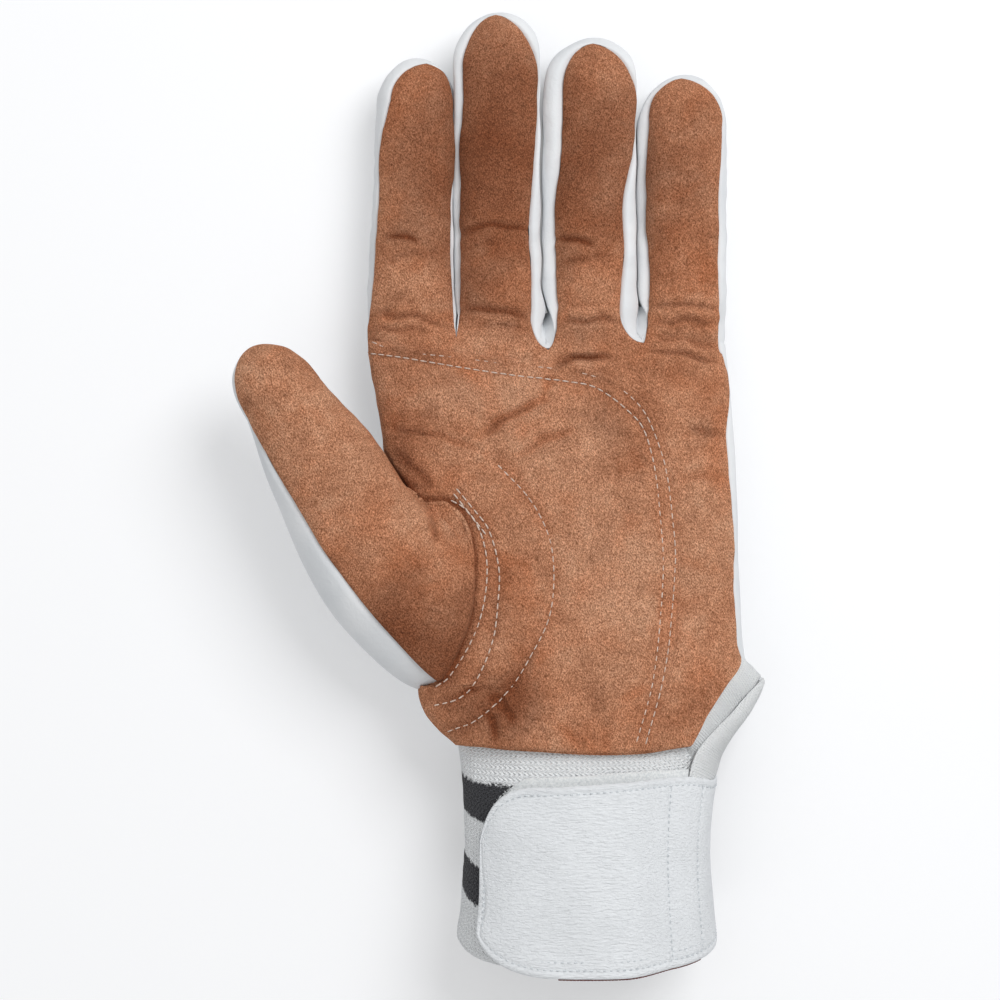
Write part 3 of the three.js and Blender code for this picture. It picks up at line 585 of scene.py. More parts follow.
# Foam, loops and hooks: pale and porous, the hooks a little shinier because they are moulded
foam = fibre_finish("open_cell_foam", "#eadfc6", "#d2c3a2", 1.2, 0.95)
loop_pile = fibre_finish("brushed_loop_pile", "#e9ebeb", "#cdd1d3", 0.5, 0.95)
hook_pile = fibre_finish("moulded_hook_tape", "#ecedec", "#c3c7c9", 0.9, 0.6)
print("finishes:", len(bpy.data.materials))

# %% [markdown]
# ## Folds, seams and waves
# Suede that has been worn keeps creases at the finger joints and across the palm, and every row of stitches
# pulls the padding down. Both are heights added along the surface's normal: a crease is a soft valley with
# raised lips along a straight line, a seam a valley along a curve, and the slow waves are a few seeded sines.
# The same depth is kept as a mark on each point, so that the finish can darken the folds as painted shade.

# %% Creases
CREASES = np.array([  # x, y of both ends, depth and width
    (-43.0, 27.8, -33.0, 26.6, 0.75, 1.5), (-45.1, 20.2, -27.2, 23.1, 0.3, 1.6), (-47.0, 6.4, -25.4, 4.0, 0.6, 1.5),
    (-47.3, 2.2, -29.9, 1.7, 0.45, 1.2), (-23.1, 29.0, -3.3, 29.4, 0.7, 1.4), (-22.0, 24.6, -9.0, 25.6, 0.3, 1.3),
    (-23.4, 8.2, -3.8, 5.6, 0.65, 1.5), (-21.3, 4.0, -3.9, 2.6, 0.35, 1.2), (1.8, 27.6, 13.8, 24.4, 0.8, 1.4),
    (2.1, 19.6, 17.8, 22.7, 0.4, 1.6), (3.2, 4.2, 20.0, 5.2, 0.7, 1.4), (2.0, 9.3, 16.0, 9.0, 0.3, 1.3),
    (2.6, -5.7, 18.4, -4.5, 0.6, 1.6), (26.5, 8.8, 46.8, 8.5, 0.55, 1.4), (26.5, 4.2, 46.8, 3.9, 0.6, 1.4),
    (25.9, -2.6, 48.3, -7.0, 0.7, 1.3), (26.5, 0.2, 47.6, -2.2, 0.45, 1.3), (-18.6, -26.6, 1.8, -15.4, 1.1, 1.7),
    (-8.4, -31.4, 8.2, -23.6, 0.8, 1.6), (-0.6, -17.8, 1.7, -7.8, 0.4, 1.4), (1.8, -6.9, 17.1, -3.9, 0.6, 1.5),
    (-15.0, -92.8, -8.4, -100.2, 0.7, 1.8), (-14.6, -97.2, -13.9, -105.5, 0.7, 1.6),
    (-23.2, -94.6, -17.0, -91.0, 0.4, 1.4), (36.8, -23.4, 48.3, -25.6, 0.45, 2.2),
    (35.1, -37.1, 48.5, -36.3, 0.4, 2.2), (34.9, -57.6, 46.3, -62.2, 0.35, 2.4),
    (-41.8, -28.6, -29.7, -39.4, 0.5, 2.2), (-42.0, -23.5, -15.6, -30.5, 0.6, 1.2),
    (-38.0, -14.0, -22.0, -11.0, 0.3, 2.4), (4.0, -101.0, 9.0, -106.5, 0.4, 1.4),
    (14.0, -100.0, 15.5, -106.5, 0.35, 1.3), (-2.0, -100.5, 0.5, -106.8, 0.4, 1.3),
])


def waves(x, y, size, seed):
    """Slow unevenness of about unit height: a mean of seeded sine waves of nearly one size in all directions."""
    draw = np.random.default_rng(seed)
    total = 0
    for turn, stretch, phase in draw.uniform((0, 0.7, 0), (np.pi, 1.4, 2 * np.pi), (9, 3)):
        k = 2 * np.pi / (size * stretch)
        total = total + np.sin(k * (x * np.cos(turn) + y * np.sin(turn)) + phase)
    return total / 3


def curve(stations, spacing=0.5):
    """Even points on a smooth curve through the stations."""
    stations = np.array(stations, float)
    far = np.r_[0, np.linalg.norm(np.diff(stations, axis=0), axis=1).cumsum()]
    at = np.linspace(0, far[-1], cells(far[-1], spacing) + 1)
    return np.stack([through(np.c_[far, stations[:, i]], at) for i in range(stations.shape[1])], 1)


THUMB_CREASES = np.array([(-31.4, -45.2, -28.4, -53.4, 0.55, 1.7), (-26.6, -45.6, -22.4, -53.0, 0.5, 1.7)])
# The thumb's fold line on the palm: it places the thumb's root, and along it the palm gets a painted shadow line
TUCK_LINE = curve([(-33.5, -42.1), (-30.2, -42.2), (-26.9, -42.0), (-24.6, -43.2), (-22.3, -45.2), (-20.9, -47.6),
                   (-20.0, -50.0), (-19.1, -54.6), (-18.8, -58.5), (-19.0, -66.6), (-20.2, -73.9), (-22.5, -80.2),
                   (-25.6, -86.8), (-27.8, -90.2)])
# Painted shadow line on the palm along the thumb's edge at the web
WEB_SHADOW_LINE = curve([(-42.7, -29.5), (-38.7, -35.6), (-33.6, -41.7)])


def creased(x, y, table=CREASES):
    """Sum of the creases: minus depth times a bell across the line, plus lips beside it, fading at both ends."""
    height = np.zeros(np.broadcast(x, y).shape)
    for x0, y0, x1, y1, depth, width in table:
        dx, dy = x1 - x0, y1 - y0
        length = np.hypot(dx, dy)
        s = ((x - x0) * dx + (y - y0) * dy) / length ** 2
        bow = 0.06 * length * (1 - (2 * s - 1) ** 2)
        r = ((x - x0) * dy - (y - y0) * dx) / length + bow + 0.35 * waves(x, y, 9, 17)
        ends = smooth(-0.1, 0.3, s) * smooth(-0.1, 0.3, 1 - s)
        width = 0.7 * width
        bell = np.exp(-(r / width) ** 2)
        lips = np.exp(-((np.abs(r) - 2.0 * width) / (0.9 * width)) ** 2)
        height += depth * ends * (0.45 * lips - bell)
    return height


print("creases:", len(CREASES), "on palm and fingers,", len(THUMB_CREASES), "on the thumb")

# %% Stitched rows
def beside(x, y, line):
    """Distance of each point from a line of points: the least distance to its straight pieces."""
    nearest = np.full(np.broadcast(x, y).shape, 1e3)
    for (ax, ay), (bx, by) in zip(line[:-1], line[1:]):
        dx, dy = bx - ax, by - ay
        s = np.clip(((x - ax) * dx + (y - ay) * dy) / (dx * dx + dy * dy), 0, 1)
        nearest = np.minimum(nearest, np.hypot(x - ax - s * dx, y - ay - s * dy))
    return nearest


ROWS = {
    "patch_outer": [(-46.5, 0.2), (-40.7, -2.2), (-25.6, -4.3), (-8.9, -6.4), (5.7, -8.0), (16.5, -11.0),
                    (23.9, -16.6), (27.6, -22.7), (31.4, -34.3), (33.4, -50.9), (33.6, -60.0), (32.6, -72.2),
                    (30.3, -88.0), (25.2, -106.0)],
    "patch_inner": [(-46.5, -3.0), (-38.5, -4.3), (-25.5, -6.7), (-10.2, -9.1), (5.7, -11.0), (13.1, -12.6),
                    (21.8, -19.0), (25.7, -24.0), (28.5, -34.8), (30.2, -52.0), (30.4, -62.4), (29.2, -76.6),
                    (27.2, -90.5), (22.6, -106.2)],
    "thumb_inner": [(-25.4, -42.2), (-21.8, -44.3), (-18.0, -49.4), (-15.8, -57.4), (-16.2, -68.1), (-18.8, -77.1),
                    (-25.3, -88.5), (-28.1, -91.0)],
    "thumb_outer": [(-23.9, -39.0), (-20.2, -43.5), (-15.3, -50.0), (-12.6, -60.0), (-12.7, -68.0), (-14.1, -78.7),
                    (-18.8, -90.0), (-22.9, -94.1), (-29.4, -96.1)],
    "back_tack": [(-24.6, -40.4), (-20.9, -45.0), (-16.2, -51.0)],
    "thumb_ball": [(-13.1, -32.7), (-4.4, -42.2), (0.6, -52.2), (1.8, -62.4), (0.5, -73.0), (-4.2, -82.8),
                   (-10.2, -92.1), (-18.8, -99.7), (-25.2, -102.3)],
}
PULL, SLACK = 0.42, {"back_tack": 0.15}  # how deep a row pulls the padding down, and a row that is sewn slack
lines = {name: curve(stations) for name, stations in ROWS.items()}


def sewn(x, y):
    """Valleys along the rows of stitches: a narrow bell across each row over a wider, shallow one."""
    height = np.zeros(np.broadcast(x, y).shape)
    for name, line in lines.items():
        r = beside(x, y, line[::6])
        height -= SLACK.get(name, PULL) * (0.7 * np.exp(-(r / 0.8) ** 2) + 0.5 * np.exp(-(r / 2.6) ** 2))
    return height


print("stitched rows:", {name: round(len(line) * 0.5) for name, line in lines.items()}, "mm")

# %% Worn suede
def worn(x, y):
    """All heights of the suede's face: creases, stitched valleys and two sizes of waves."""
    return creased(x, y) + sewn(x, y) + 0.28 * waves(x, y, 26, 3) + 0.09 * waves(x, y, 8, 5)


HANDLED = np.array([  # x, y, half width, half height, strength: above 0 the nap lies down, below 0 it is brushed up
    (-13, 54, 18, 36, 0.70), (-13, 10, 12, 10, 0.30), (12, 46, 18, 34, 0.58), (-35, 42, 18, 36, 0.45),
    (38, 40, 18, 34, 0.42), (-12, -96, 13, 9, 0.85), (-7, -74, 6, 16, 0.40), (-38, -28, 5, 14, 0.40),
    (10, 2, 10, 5, 0.30), (-30, -78, 8, 14, 0.50), (42, -96, 10, 12, 0.35), (41, -22, 7, 10, 0.35),
    (24, -8, 14, 5, 0.3), (-33, -38, 5, 4, 0.45), (18, -64, 14, 16, -0.35), (-14, -14, 20, 6, -0.40),
    (40, -52, 6, 14, -0.15), (-38, 14, 8, 8, -0.25), (4, -28, 14, 8, -0.2), (12, 14, 8, 6, -0.2),
])


def painted_shade_and_nap(x, y):
    """Mark for the finish: painted shade by the depth of a crease or stitched valley, painted shadow along the thumb's
    fold line and along its edge at the web, plus soft bells where the nap lies down.
    """
    mark = np.clip(-0.9 * creased(x, y) - 0.8 * sewn(x, y), 0, 1) * 0.8
    for x0, y0, wide, tall, strength in HANDLED:
        mark = mark + strength * np.exp(-((x - x0) / wide) ** 2 - ((y - y0) / tall) ** 2)
    # Painted shadow: dark bells along the thumb's fold line and along its edge over the web
    for line, strength in ((TUCK_LINE, 0.75), (WEB_SHADOW_LINE, 0.55)):
        mark = mark + strength * np.exp(-(beside(x, y, line[::4]) / 1.1) ** 2)
    return np.clip(mark + 0.06 * waves(x, y, 15, 9), -1, 1)


print("handled places:", len(HANDLED))

# %% [markdown]
# ## Palm and palm patch
# The palm is one piece of suede from the wrist to the finger crotches, cut back in an arc where the thumb is
# sewn in and slanted at the wrist vent. A second layer of suede covers its thumb side and is sewn on with two
# rows. Both could be cut from the solids, but as grids over the hand's oval they can carry the creases.

# %% Rows, edges and dressing
THICK = dict(palm=1.4, patch=1.0, front=1.2, back=1.1, fourchette=0.9, quirk=0.5, tape=1.0, cuff=1.5, foam=2.0,
             lining=0.7)  # millimetres


def rows_of(low, high, spacing):
    """Even values from low to high, as a column."""
    return np.linspace(low, high, cells(high - low, spacing) + 1)[:, None]


def steps_of(count):
    """Even shares from 0 to 1, as a row."""
    return np.linspace(0, 1, count + 1)[None, :]


ULNAR_EDGE = [(-107, 37.4), (-103.8, 39.2), (-97.6, 42.3), (-90.3, 47.3), (-86.4, 50.7), (-84.2, 51.8), (-82.2, 51.0),
              (-79.8, 50.2), (-66.7, 49.6), (-47.5, 49.5), (-34.7, 48.5), (-25, 48.0), (-15.6, 49.0), (-9.2, 48.9),
              (-2.8, 47.4), (0.3, 46.5)]


def palm_right(y):
    """Direction of the palm's edge on the little finger's side: the side seam, then the slanted vent edge."""
    return hand_towards(y, through(ULNAR_EDGE, y))


def tie(made, body):
    """Lets a piece ride on a body, or hands it to a function, which here only bakes its placement into its mesh."""
    if callable(body):
        body(made)
    else:
        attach(made, body)


def dress(made, body, slot, *nodes):
    """Ties a piece to its body and hides the solids that it replaces; slot is not used."""
    tie(made, body)
    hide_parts(*nodes)


def raised(grid, height):
    """Moves a grid along its normals by the heights."""
    return grid + normals_of(grid) * height[:, :, None]


print("palm's edge follows", len(ULNAR_EDGE), "stations")

# %% Palm
def hem_sag(x, y):
    """How far the suede hangs down over the cuff in the middle of its hem, less what it is drawn up at the vent."""
    return smooth(-94, -PALM_LENGTH, y) * (1.2 * np.exp(-((x - 15) / 17) ** 2) - 0.9 * smooth(24, 38, x))


y = rows_of(-PALM_LENGTH, PALM_TOP, 0.62)
face = hand_point(y, mix(palm_right(y), hand_towards(y, palm_left(y)), steps_of(168)))
x_at, y_at = face[:, :, 0], face[:, :, 1]
face = raised(face, worn(x_at, y_at) - rolled(face, ["low"], 0.7, 1.4))
face[:, :, 1] -= hem_sag(x_at, y)
palm = sheet("palm_suede", face, THICK["palm"], suede, marks={"fold": painted_shade_and_nap(x_at, y_at)})
dress(palm, "hand", "suede", "palm_panel")
print("palm points:", len(palm.data.vertices))

# %% Palm patch
PATCH_LIFT = 1.15
PATCH_EDGE = [(33.0, -34.0), (29.3, -22.3), (25.2, -15.3), (17.4, -9.5), (6.2, -6.3), (-8.7, -4.7), (-25.4, -2.6),
              (-40.5, -0.6), (-47.2, 0.6)]
PATCH_RIGHT = [(-107, 26.6), (-88, 32.0), (-72, 34.3), (-59, 35.2), (-50, 34.9), (-34, 33.0), (0, 33.0)]


def patch_side(y):
    """Directions of the patch's two sides at y: along the outer row, and along the thumb-side edge of the palm."""
    return hand_towards(y, through(PATCH_RIGHT, y)), hand_towards(y, palm_left(y) + 1.3)


border = curve(PATCH_EDGE, 1.0)
first, last = patch_side(border[:, 1])
share = (first - hand_towards(border[:, 1], border[:, 0])) / (first - last)
order = np.argsort(share)
u = steps_of(140)
top = np.interp(u, share[order], border[order, 1])
y = mix(0.4 - PALM_LENGTH, top, np.linspace(0, 1, 165)[:, None])
first, last = patch_side(y)
face = hand_point(np.minimum(y, 0), mix(first, last, u))
face[:, :, 1] = y
x_at, y_at = face[:, :, 0].copy(), y
face = raised(face, worn(x_at, y_at) + PATCH_LIFT - rolled(face, ["first", "last", "high", "low"], 0.9, 1.2))
face[:, :, 1] -= hem_sag(x_at, y)
patch = sheet("palm_patch_suede", face, THICK["patch"], suede, marks={"fold": painted_shade_and_nap(x_at, y_at)})
dress(patch, "hand", "suede", "palm_patch")
print("patch points:", len(patch.data.vertices))

# %% [markdown]
# ## Fingers
# The suede of each finger runs on from the palm without a seam. Near the crotches its section changes from the
# hand's oval to the finger's own, and the slit between two fingers opens like a U. White strips, the
# fourchettes, line the slits, and each swells into a roll. The white back runs on from the hand's oval and wraps
# the rest, tucked under the suede beside the palm.

# %% Finger edges
CROTCHES = {"index": (PALM_TOP, 1.1), "middle": (1.1, -1.9), "ring": (-1.9, -0.3), "little": (-0.3, PALM_TOP)}
NARROW, WIDE = (16, 1.0), (9, 0.5)  # reach and power of a slit's opening
OPENING = {"index": (WIDE, NARROW), "middle": (NARROW, WIDE), "ring": (WIDE, WIDE), "little": (WIDE, WIDE)}
WALL = turned(40, FINGER_ROUND)
SUEDE_EDGES = {  # y with the suede's left and right edge, then y and x of its tip
    "index": ([(3.1, -48.2, -24.4), (11.1, -47.0, -24.8), (24.4, -45.6, -25.2), (37.7, -44.8, -25.1),
               (51.0, -44.8, -24.0), (64.4, -41.9, -24.0)], (74.6, -32.0)),
    "middle": ([(5.8, -23.2, -3.8), (17.7, -23.0, -3.5), (31.1, -23.2, -4.3), (44.4, -23.2, -3.2), (59.0, -23.0, -2.4),
                (69.7, -22.6, -1.9)], (87.8, -13.5)),
    "ring": ([(5.8, 2.6, 19.7), (11.1, 2.9, 19.9), (24.4, 2.1, 21.0), (37.7, 2.4, 20.7), (51.0, 3.7, 23.4),
              (64.4, 4.0, 24.5)], (79.8, 12.5)),
    "little": ([(3.1, 26.9, 46.3), (17.7, 27.4, 46.3), (37.7, 26.6, 46.3), (51.0, 27.1, 47.1), (59.0, 27.4, 47.6)],
               (70.6, 36.3)),
}


def tip_rows(low, high, tip, spacing):
    """Places along a stall: even up to the tip, then closing over it along a quarter circle."""
    straight = np.linspace(low, high - tip, cells(high - tip - low, spacing) + 1)
    turn = np.linspace(0, np.pi / 2, cells(1.57 * tip, spacing) + 1)[1:]
    return np.r_[straight, high - tip + tip * np.sin(turn)][:, None]


def suede_edges(finger, t):
    """Directions of the suede's right and left edges on the finger's oval; past the last station they close
    on the suede's tip, the half width falling with a power of one minus the squared way to the tip."""
    stations, (tip_y, tip_x) = SUEDE_EDGES[finger]
    table = np.array(stations)
    t = np.minimum(t, tip_y)
    left, right = through(table[:, [0, 1]], t), through(table[:, [0, 2]], t)
    into = np.clip((t - table[-1, 0]) / (tip_y - table[-1, 0]), 0, 1)
    middle = mix((left + right) / 2, tip_x, into ** 1.5)
    half = (right - left) / 2 * (1 - into ** 2) ** 0.55
    axis, wide = finger_axis(finger, t)
    limit = lambda x: towards(np.clip((x - axis) / wide, -0.97, 0.97), FINGER_ROUND)
    return limit(middle + half), limit(middle - half)


def front_point(finger, t, share):
    """Suede of a finger: from the hand's oval below the crotch to the finger's own, share 0 right to 1 left."""
    f, order = FINGERS[finger], NAMES.index(finger)
    right, left = suede_edges(finger, t)
    own = finger_point(finger, t, mix(right, left, share))
    low = np.minimum(t, 0.0)
    outer = f["middle"] + f["width"] / 2 + FINGER_GAP / 2, f["middle"] - f["width"] / 2 - FINGER_GAP / 2
    first = hand_towards(low, outer[0]) if order < 3 else palm_right(low)
    last = hand_towards(low, outer[1]) if order > 0 else np.pi + 0 * low
    hand = hand_point(low, mix(first, last, share))
    hand[..., 1] = t
    crotch_left, crotch_right = CROTCHES[finger]
    opens = mix(crotch_right, crotch_left, share)
    left_way, right_way = OPENING[finger]
    reach, power = (mix(right_way[i], left_way[i], share) for i in (0, 1))
    spread = (1 - (1 - np.clip((t - opens) / reach, 0, 1)) ** 2) ** power
    sink = smooth(opens - 2, opens + 13, t)
    blend = np.stack([spread, spread, sink], -1)
    return mix(hand, own, blend), spread


print("crotches at", [CROTCHES[finger][1] for finger in NAMES[:3]], "mm")


def bend_finger():
    """Hands back a step that bakes a piece's placement into its mesh; nothing ties the piece to the hand or a finger.
    """
    return lambda made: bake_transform(made)


for finger in FINGERS:
    stations, (tip_y, _) = SUEDE_EDGES[finger]
    t = tip_rows(PALM_TOP, tip_y, tip_y - stations[-1][0], 0.62)
    share = steps_of(44)
    face, spread = front_point(finger, t, share)
    x_at, y_at = face[:, :, 0].copy(), face[:, :, 1].copy()
    tip = smooth(0, 6, tip_y - t)
    drop = rolled(face, ["first", "last"], 0.85, 1.7) * spread
    face = raised(face, worn(x_at, y_at) * tip + 0.25 - 0.25 * (1 - spread) - drop)
    made = sheet(finger + "_suede", face, THICK["front"], suede, marks={"fold": painted_shade_and_nap(x_at, y_at)})
    dress(made, bend_finger(), "suede", finger + "_front")
print("finger fronts made")

# %% Finger backs
OVERLAP = 0.16  # turn by which white leather runs on under the suede beside the palm


def strip_face(finger, t, first, last):
    """White strip on a finger, its shares across, and how near each point lies to the suede. Each border is a suede
    side, 'right' or 'left', with a turn to add, or None with a fixed direction; a border on the suede follows its
    edge down to the crotch."""
    sides = dict(zip(("right", "left"), suede_edges(finger, t)))
    ends = [sides.get(at, 0.0) + turn for at, turn in (first, last)]
    s = steps_of(max(cells(float(np.abs(np.subtract(*ends)).max()) * 11, 0.55), 10))
    face, near = finger_point(finger, t, mix(*ends, s)), 0
    for (at, _), weight in ((first, (1 - s) ** 2), (last, s ** 2)):
        if at:
            seam = front_point(finger, t, np.array([[0.0 if at == "right" else 1.0]]))[0]
            face = face + (seam - finger_point(finger, t, sides[at])) * weight[:, :, None]
            near = near + weight ** 3
    return face, s, near


def strip_height(name, finger, t, face):
    """Two sizes of waves that calm down at the tip, less the rolled borders beside the suede."""
    y, z = face[:, :, 1], face[:, :, 2]
    tip_y = SUEDE_EDGES[finger][1][0]
    calm = smooth(0, 6, FINGERS[finger]["length"] - t)
    height = (0.14 * waves(y, z, 13, len(name)) + 0.08 * waves(y, z, 5, 7)) * calm
    return height - rolled(face, ["first", "last"], 0.7, 1.3) * smooth(tip_y, tip_y - 3, t)


def strip_piece(name, t, face, thickness, node):
    """Lays a strip on the table, a little higher below the crotch, where the back covers it, and dresses it."""
    face[:, :, 2] = np.maximum(face[:, :, 2], REST + 0.4 * smooth(1.5, -1.0, t))
    dress(sheet(name, face, thickness, white_leather), bend_finger(), "white_leather", node)


def finger_back(finger, first, last):
    """White back of a finger: from the hand's oval at its base to the finger's own, 10 mm on."""
    name, f = finger + "_back_leather", FINGERS[finger]
    t = tip_rows(-1.5, f["length"], FINGERTIP, 0.8)
    face, s, near = strip_face(finger, t, first, last)
    low, reach = np.minimum(t, 0.0), f["width"] / 2 + FINGER_GAP / 2
    below = lambda x: 2 * np.pi - hand_towards(low, x)
    start = np.pi - OVERLAP + 0 * low if first[0] else below(f["middle"] - reach)
    stop = 2 * np.pi + OVERLAP + palm_right(low) if last[0] else below(f["middle"] + reach)
    hand = hand_point(low, mix(start, stop, s))
    hand[:, :, 1] = t
    face = mix(hand, face, smooth(-1.5, 10, t)[:, :, None])
    tucked = 1.1 * smooth(14, 4, t) * near + 0.4 * smooth(1.5, -1.0, t)
    face = raised(face, strip_height(name, finger, t, face) - tucked)
    strip_piece(name, t, face, THICK["back"], finger + "_back")


print("backs lap", OVERLAP, "rad under the suede")

# %% Fourchettes
GAP_SHIFT = [0.0, -0.7, -1.7, -1.6, 0.0]  # where two rolls touch, aside from the slit's middle, for each slit


def fourchette(finger, word, first, last):
    """Strip that lines a slit: a roll that swells towards its neighbour, held back at the line where the two touch,
    and sunk at the crotch. The hold is a soft minimum of the reach and its limit."""
    name, f, side = "{}_{}_fourchette".format(finger, word), FINGERS[finger], 1 if word == "ulnar" else -1
    slit = NAMES.index(finger) + (side > 0)
    crotch = CROTCHES[finger][side > 0]
    t = tip_rows(crotch - 3, f["length"], FINGERTIP, 0.8)
    face, s, _ = strip_face(finger, t, first, last)
    shift, q = side * GAP_SHIFT[slit], s if side < 0 else 1 - s
    swell = (1.1 + 1.3 * max(shift, 0)) * smooth(1, 10, t - crotch) * smooth(0, 12, f["length"] - t)
    face = raised(face, strip_height(name + "_leather", finger, t, face) + swell * np.sin(np.pi * q ** 0.6))
    axis, wide = finger_axis(finger, t)
    limit = wide + 0.30 + 0.22 * side * waves(t, 0 * t, 14, 80 + slit)
    limit = limit + shift * smooth(6, 16, t) * smooth(0, 16, f["length"] - t)
    deep = 1.6 if slit == 1 else 0.8
    if slit > 1:
        limit = limit - 1.5 * smooth(12, 5, t - crotch)
    out = (face[:, :, 0] - axis) * side
    face[:, :, 0] = axis - side * 0.25 * np.logaddexp(-out / 0.25, -limit / 0.25)
    face[:, :, 2] -= 2.0 * smooth(crotch + 0.3, crotch - 1.5, t) + deep * smooth(12, 1, t - crotch)
    strip_piece(name + "_leather", t, face, THICK["fourchette"], name)


LOW_LEFT, LOW_RIGHT = (None, np.pi + WALL), (None, 2 * np.pi - WALL)
for order, finger in enumerate(NAMES):
    finger_back(finger, LOW_LEFT if order > 0 else ("left", 0.0), LOW_RIGHT if order < 3 else ("right", 2 * np.pi))
    if order > 0:
        fourchette(finger, "radial", ("left", 0.0), LOW_LEFT)
    if order < 3:
        fourchette(finger, "ulnar", (None, -WALL), ("right", 0.0))
print("finger backs and fourchettes made")

# %% [markdown]
# ## Crotch gussets
# A quirk is a small diamond of leather let into each crotch so that the fingers can spread. It is seen as a
# white pocket at the bottom of the slit, so it is drawn as a ruled surface: from the suede's U-shaped edge it
# falls towards the middle of the slit, steeper the further it goes.

# %% Crotch gussets
for order in range(3):
    pair = NAMES[order], NAMES[order + 1]
    opens = CROTCHES[pair[0]][1]
    way = np.linspace(-1, 1, 41)
    t = opens + (10 if order else 7) * way[:, None] ** 2
    edge = np.where(way[:, None, None] < 0, front_point(pair[0], t, np.array([[0.0]]))[0],
                    front_point(pair[1], t, np.array([[1.0]]))[0])[:, 0]
    middle = (edge + edge[::-1]) / 2 + np.stack([0 * way, 1.8 * (1 - np.abs(way)), 0 * way], 1)
    s = np.linspace(0, 1, 12)[:, None, None]
    face = mix(edge, middle, s)
    face[:, :, 2] -= 0.7 + (1.2 + 6.0 * np.abs(way) ** 1.5) * s[:, :, 0]
    quirk = sheet("{}_{}_quirk_leather".format(*pair), face[:, ::-1], THICK["quirk"], white_leather)
    dress(quirk, "hand", "white_leather", "{}_{}_quirk".format(*pair))
print("quirks made")

# %% [markdown]
# ## Thumb
# The thumb's suede starts at the arc seam on the palm, swells over the ball of the thumb and closes over the
# tip; the white back starts low on the hand's side. Each is one continuous surface: a blend from its seam line
# to the thumb's own ovals, then the ovals up to the tip.

# %% Thumb seams
THUMB_UNDER = turned(-15, THUMB_ROUND)


def thumb_seam(t):
    """Direction of the seam on the thumb's outer side, 8 to 11 mm from the axis, kept off the oval's very side."""
    away = mix(-8.0, -11.0, smooth(-16, 24, t))
    return towards(np.maximum(away / thumb_size(np.minimum(t, THUMB_LENGTH - THUMB_TIP))[0], -0.94), THUMB_ROUND)


def fold_point(u):
    """Root of the thumb's suede: on the fold line of the palm, from the web at 0 to the heel at 1."""
    at = np.linspace(0, 1, len(TUCK_LINE))
    x, y = (np.interp(np.interp(u, (0, 0.035, 1), (0, 0.11, 1)), at, TUCK_LINE[:, i]) for i in (0, 1))
    root = hand_point(y, hand_towards(y, x))
    root[..., 2] += worn(x, y) + 3.2 - 1.3 * smooth(0.4, 0.1, u) - 1.9 * smooth(0.8, 1.0, u)
    return root


BACK_ROOT = np.array([  # share of the way, y and direction in degrees
    (0, -90.0, 138), (0.12, -92.0, 156), (0.25, -92.4, 182), (0.42, -88, 205), (0.7, -66, 206), (0.88, -50, 200),
    (1, -41.5, 146)])


def lip_point(u):
    """Root of the thumb's back on the hand: round the heel's edge, along the back's low lip and up to the web."""
    root = hand_point(through(BACK_ROOT[:, [0, 1]], u), np.radians(through(BACK_ROOT[:, [0, 2]], u)))
    root[..., 2] -= 1.5
    return root


print("fold line of the thumb:", len(TUCK_LINE), "points")

# %% Thumb
def thumb_grid(front, columns):
    """Thumb face: base rows from the seam to the hinge, then rows up to the tip."""
    u = steps_of(columns)
    s = np.linspace(0, 1, 75)[:-1, None]
    lag = 1 - smooth(0.15, 0.6, u)
    if front:
        lag = np.interp(u, (0, 0.035, 0.15, 0.3, 0.5), (0.20, 0.44, 0.62, 0.82, 1))
    t_base = mix(mix(THUMB_HINGE, -THUMB_TIP, lag), THUMB_HINGE, s)
    t_tip = tip_rows(THUMB_HINGE, THUMB_LENGTH, THUMB_TIP, 0.7) + 0 * u
    t = np.concatenate([t_base, t_tip])
    seam = thumb_seam(t)
    turn = mix(THUMB_UNDER, seam, u) if front else mix(seam, 2 * np.pi + THUMB_UNDER, u)
    own = thumb_point(t, turn)
    root = fold_point(u) if front else lip_point(u)
    weight = np.concatenate([1 - (1 - s) ** 3 + 0 * u, np.ones_like(t_tip)])
    return mix(np.broadcast_to(root, own.shape), own, weight[:, :, None]), t


face, t = thumb_grid(True, 88)
x_at, y_at = face[:, :, 0].copy(), face[:, :, 1].copy()
calm = smooth(0, 6, THUMB_LENGTH - t)
face = raised(face, calm * (0.22 * waves(x_at, y_at, 24, 11) + 0.08 * waves(x_at, y_at, 8, 12)) + 0.2
              + creased(x_at, y_at, THUMB_CREASES) - rolled(face, ["first", "last"], 0.8, 1.8))
face[:, :, 2] -= rolled(face, ["low"], 2.2, 1.8)
# Painted shade, darker towards the thumb's heel and in its creases, with painted highlight on the creases' lips
mark = 0.8 * smooth(-48, -80, y_at) - 0.8 * creased(x_at, y_at, THUMB_CREASES) + 0.10 * waves(x_at, y_at, 17, 9)
thumb_front = sheet("thumb_suede", face, THICK["front"], suede, marks={"fold": np.clip(mark, -1, 1)})
face, t = thumb_grid(False, 60)
calm = smooth(0, 6, THUMB_LENGTH - t)
face = raised(face, calm * 0.3 * waves(face[:, :, 1], face[:, :, 2], 22, 14)
              - rolled(face, ["first", "last"], 0.7, 1.5))
thumb_back = sheet("thumb_back_leather", face, THICK["back"], white_leather)


def bend_thumb(made):
    """Bakes a piece's placement into its mesh; nothing ties it to the hand or the thumb."""
    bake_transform(made)


dress(thumb_front, bend_thumb, "suede", "thumb_front", "thumb_base_front")
dress(thumb_back, bend_thumb, "white_leather", "thumb_back", "thumb_base_back")
print("thumb points:", len(thumb_front.data.vertices))

# %% [markdown]
# ## Back and wrist vent
# The back is a tray of white leather that rises to the side seams and is cut low for the thumb. It runs on under
# the finger backs, the suede and the web of the thumb, so that no gap shows there. On the little finger's side the
# wrist is slit so that the hand can pass, and both edges of the slit carry a ribbed tape, folded over the edge.

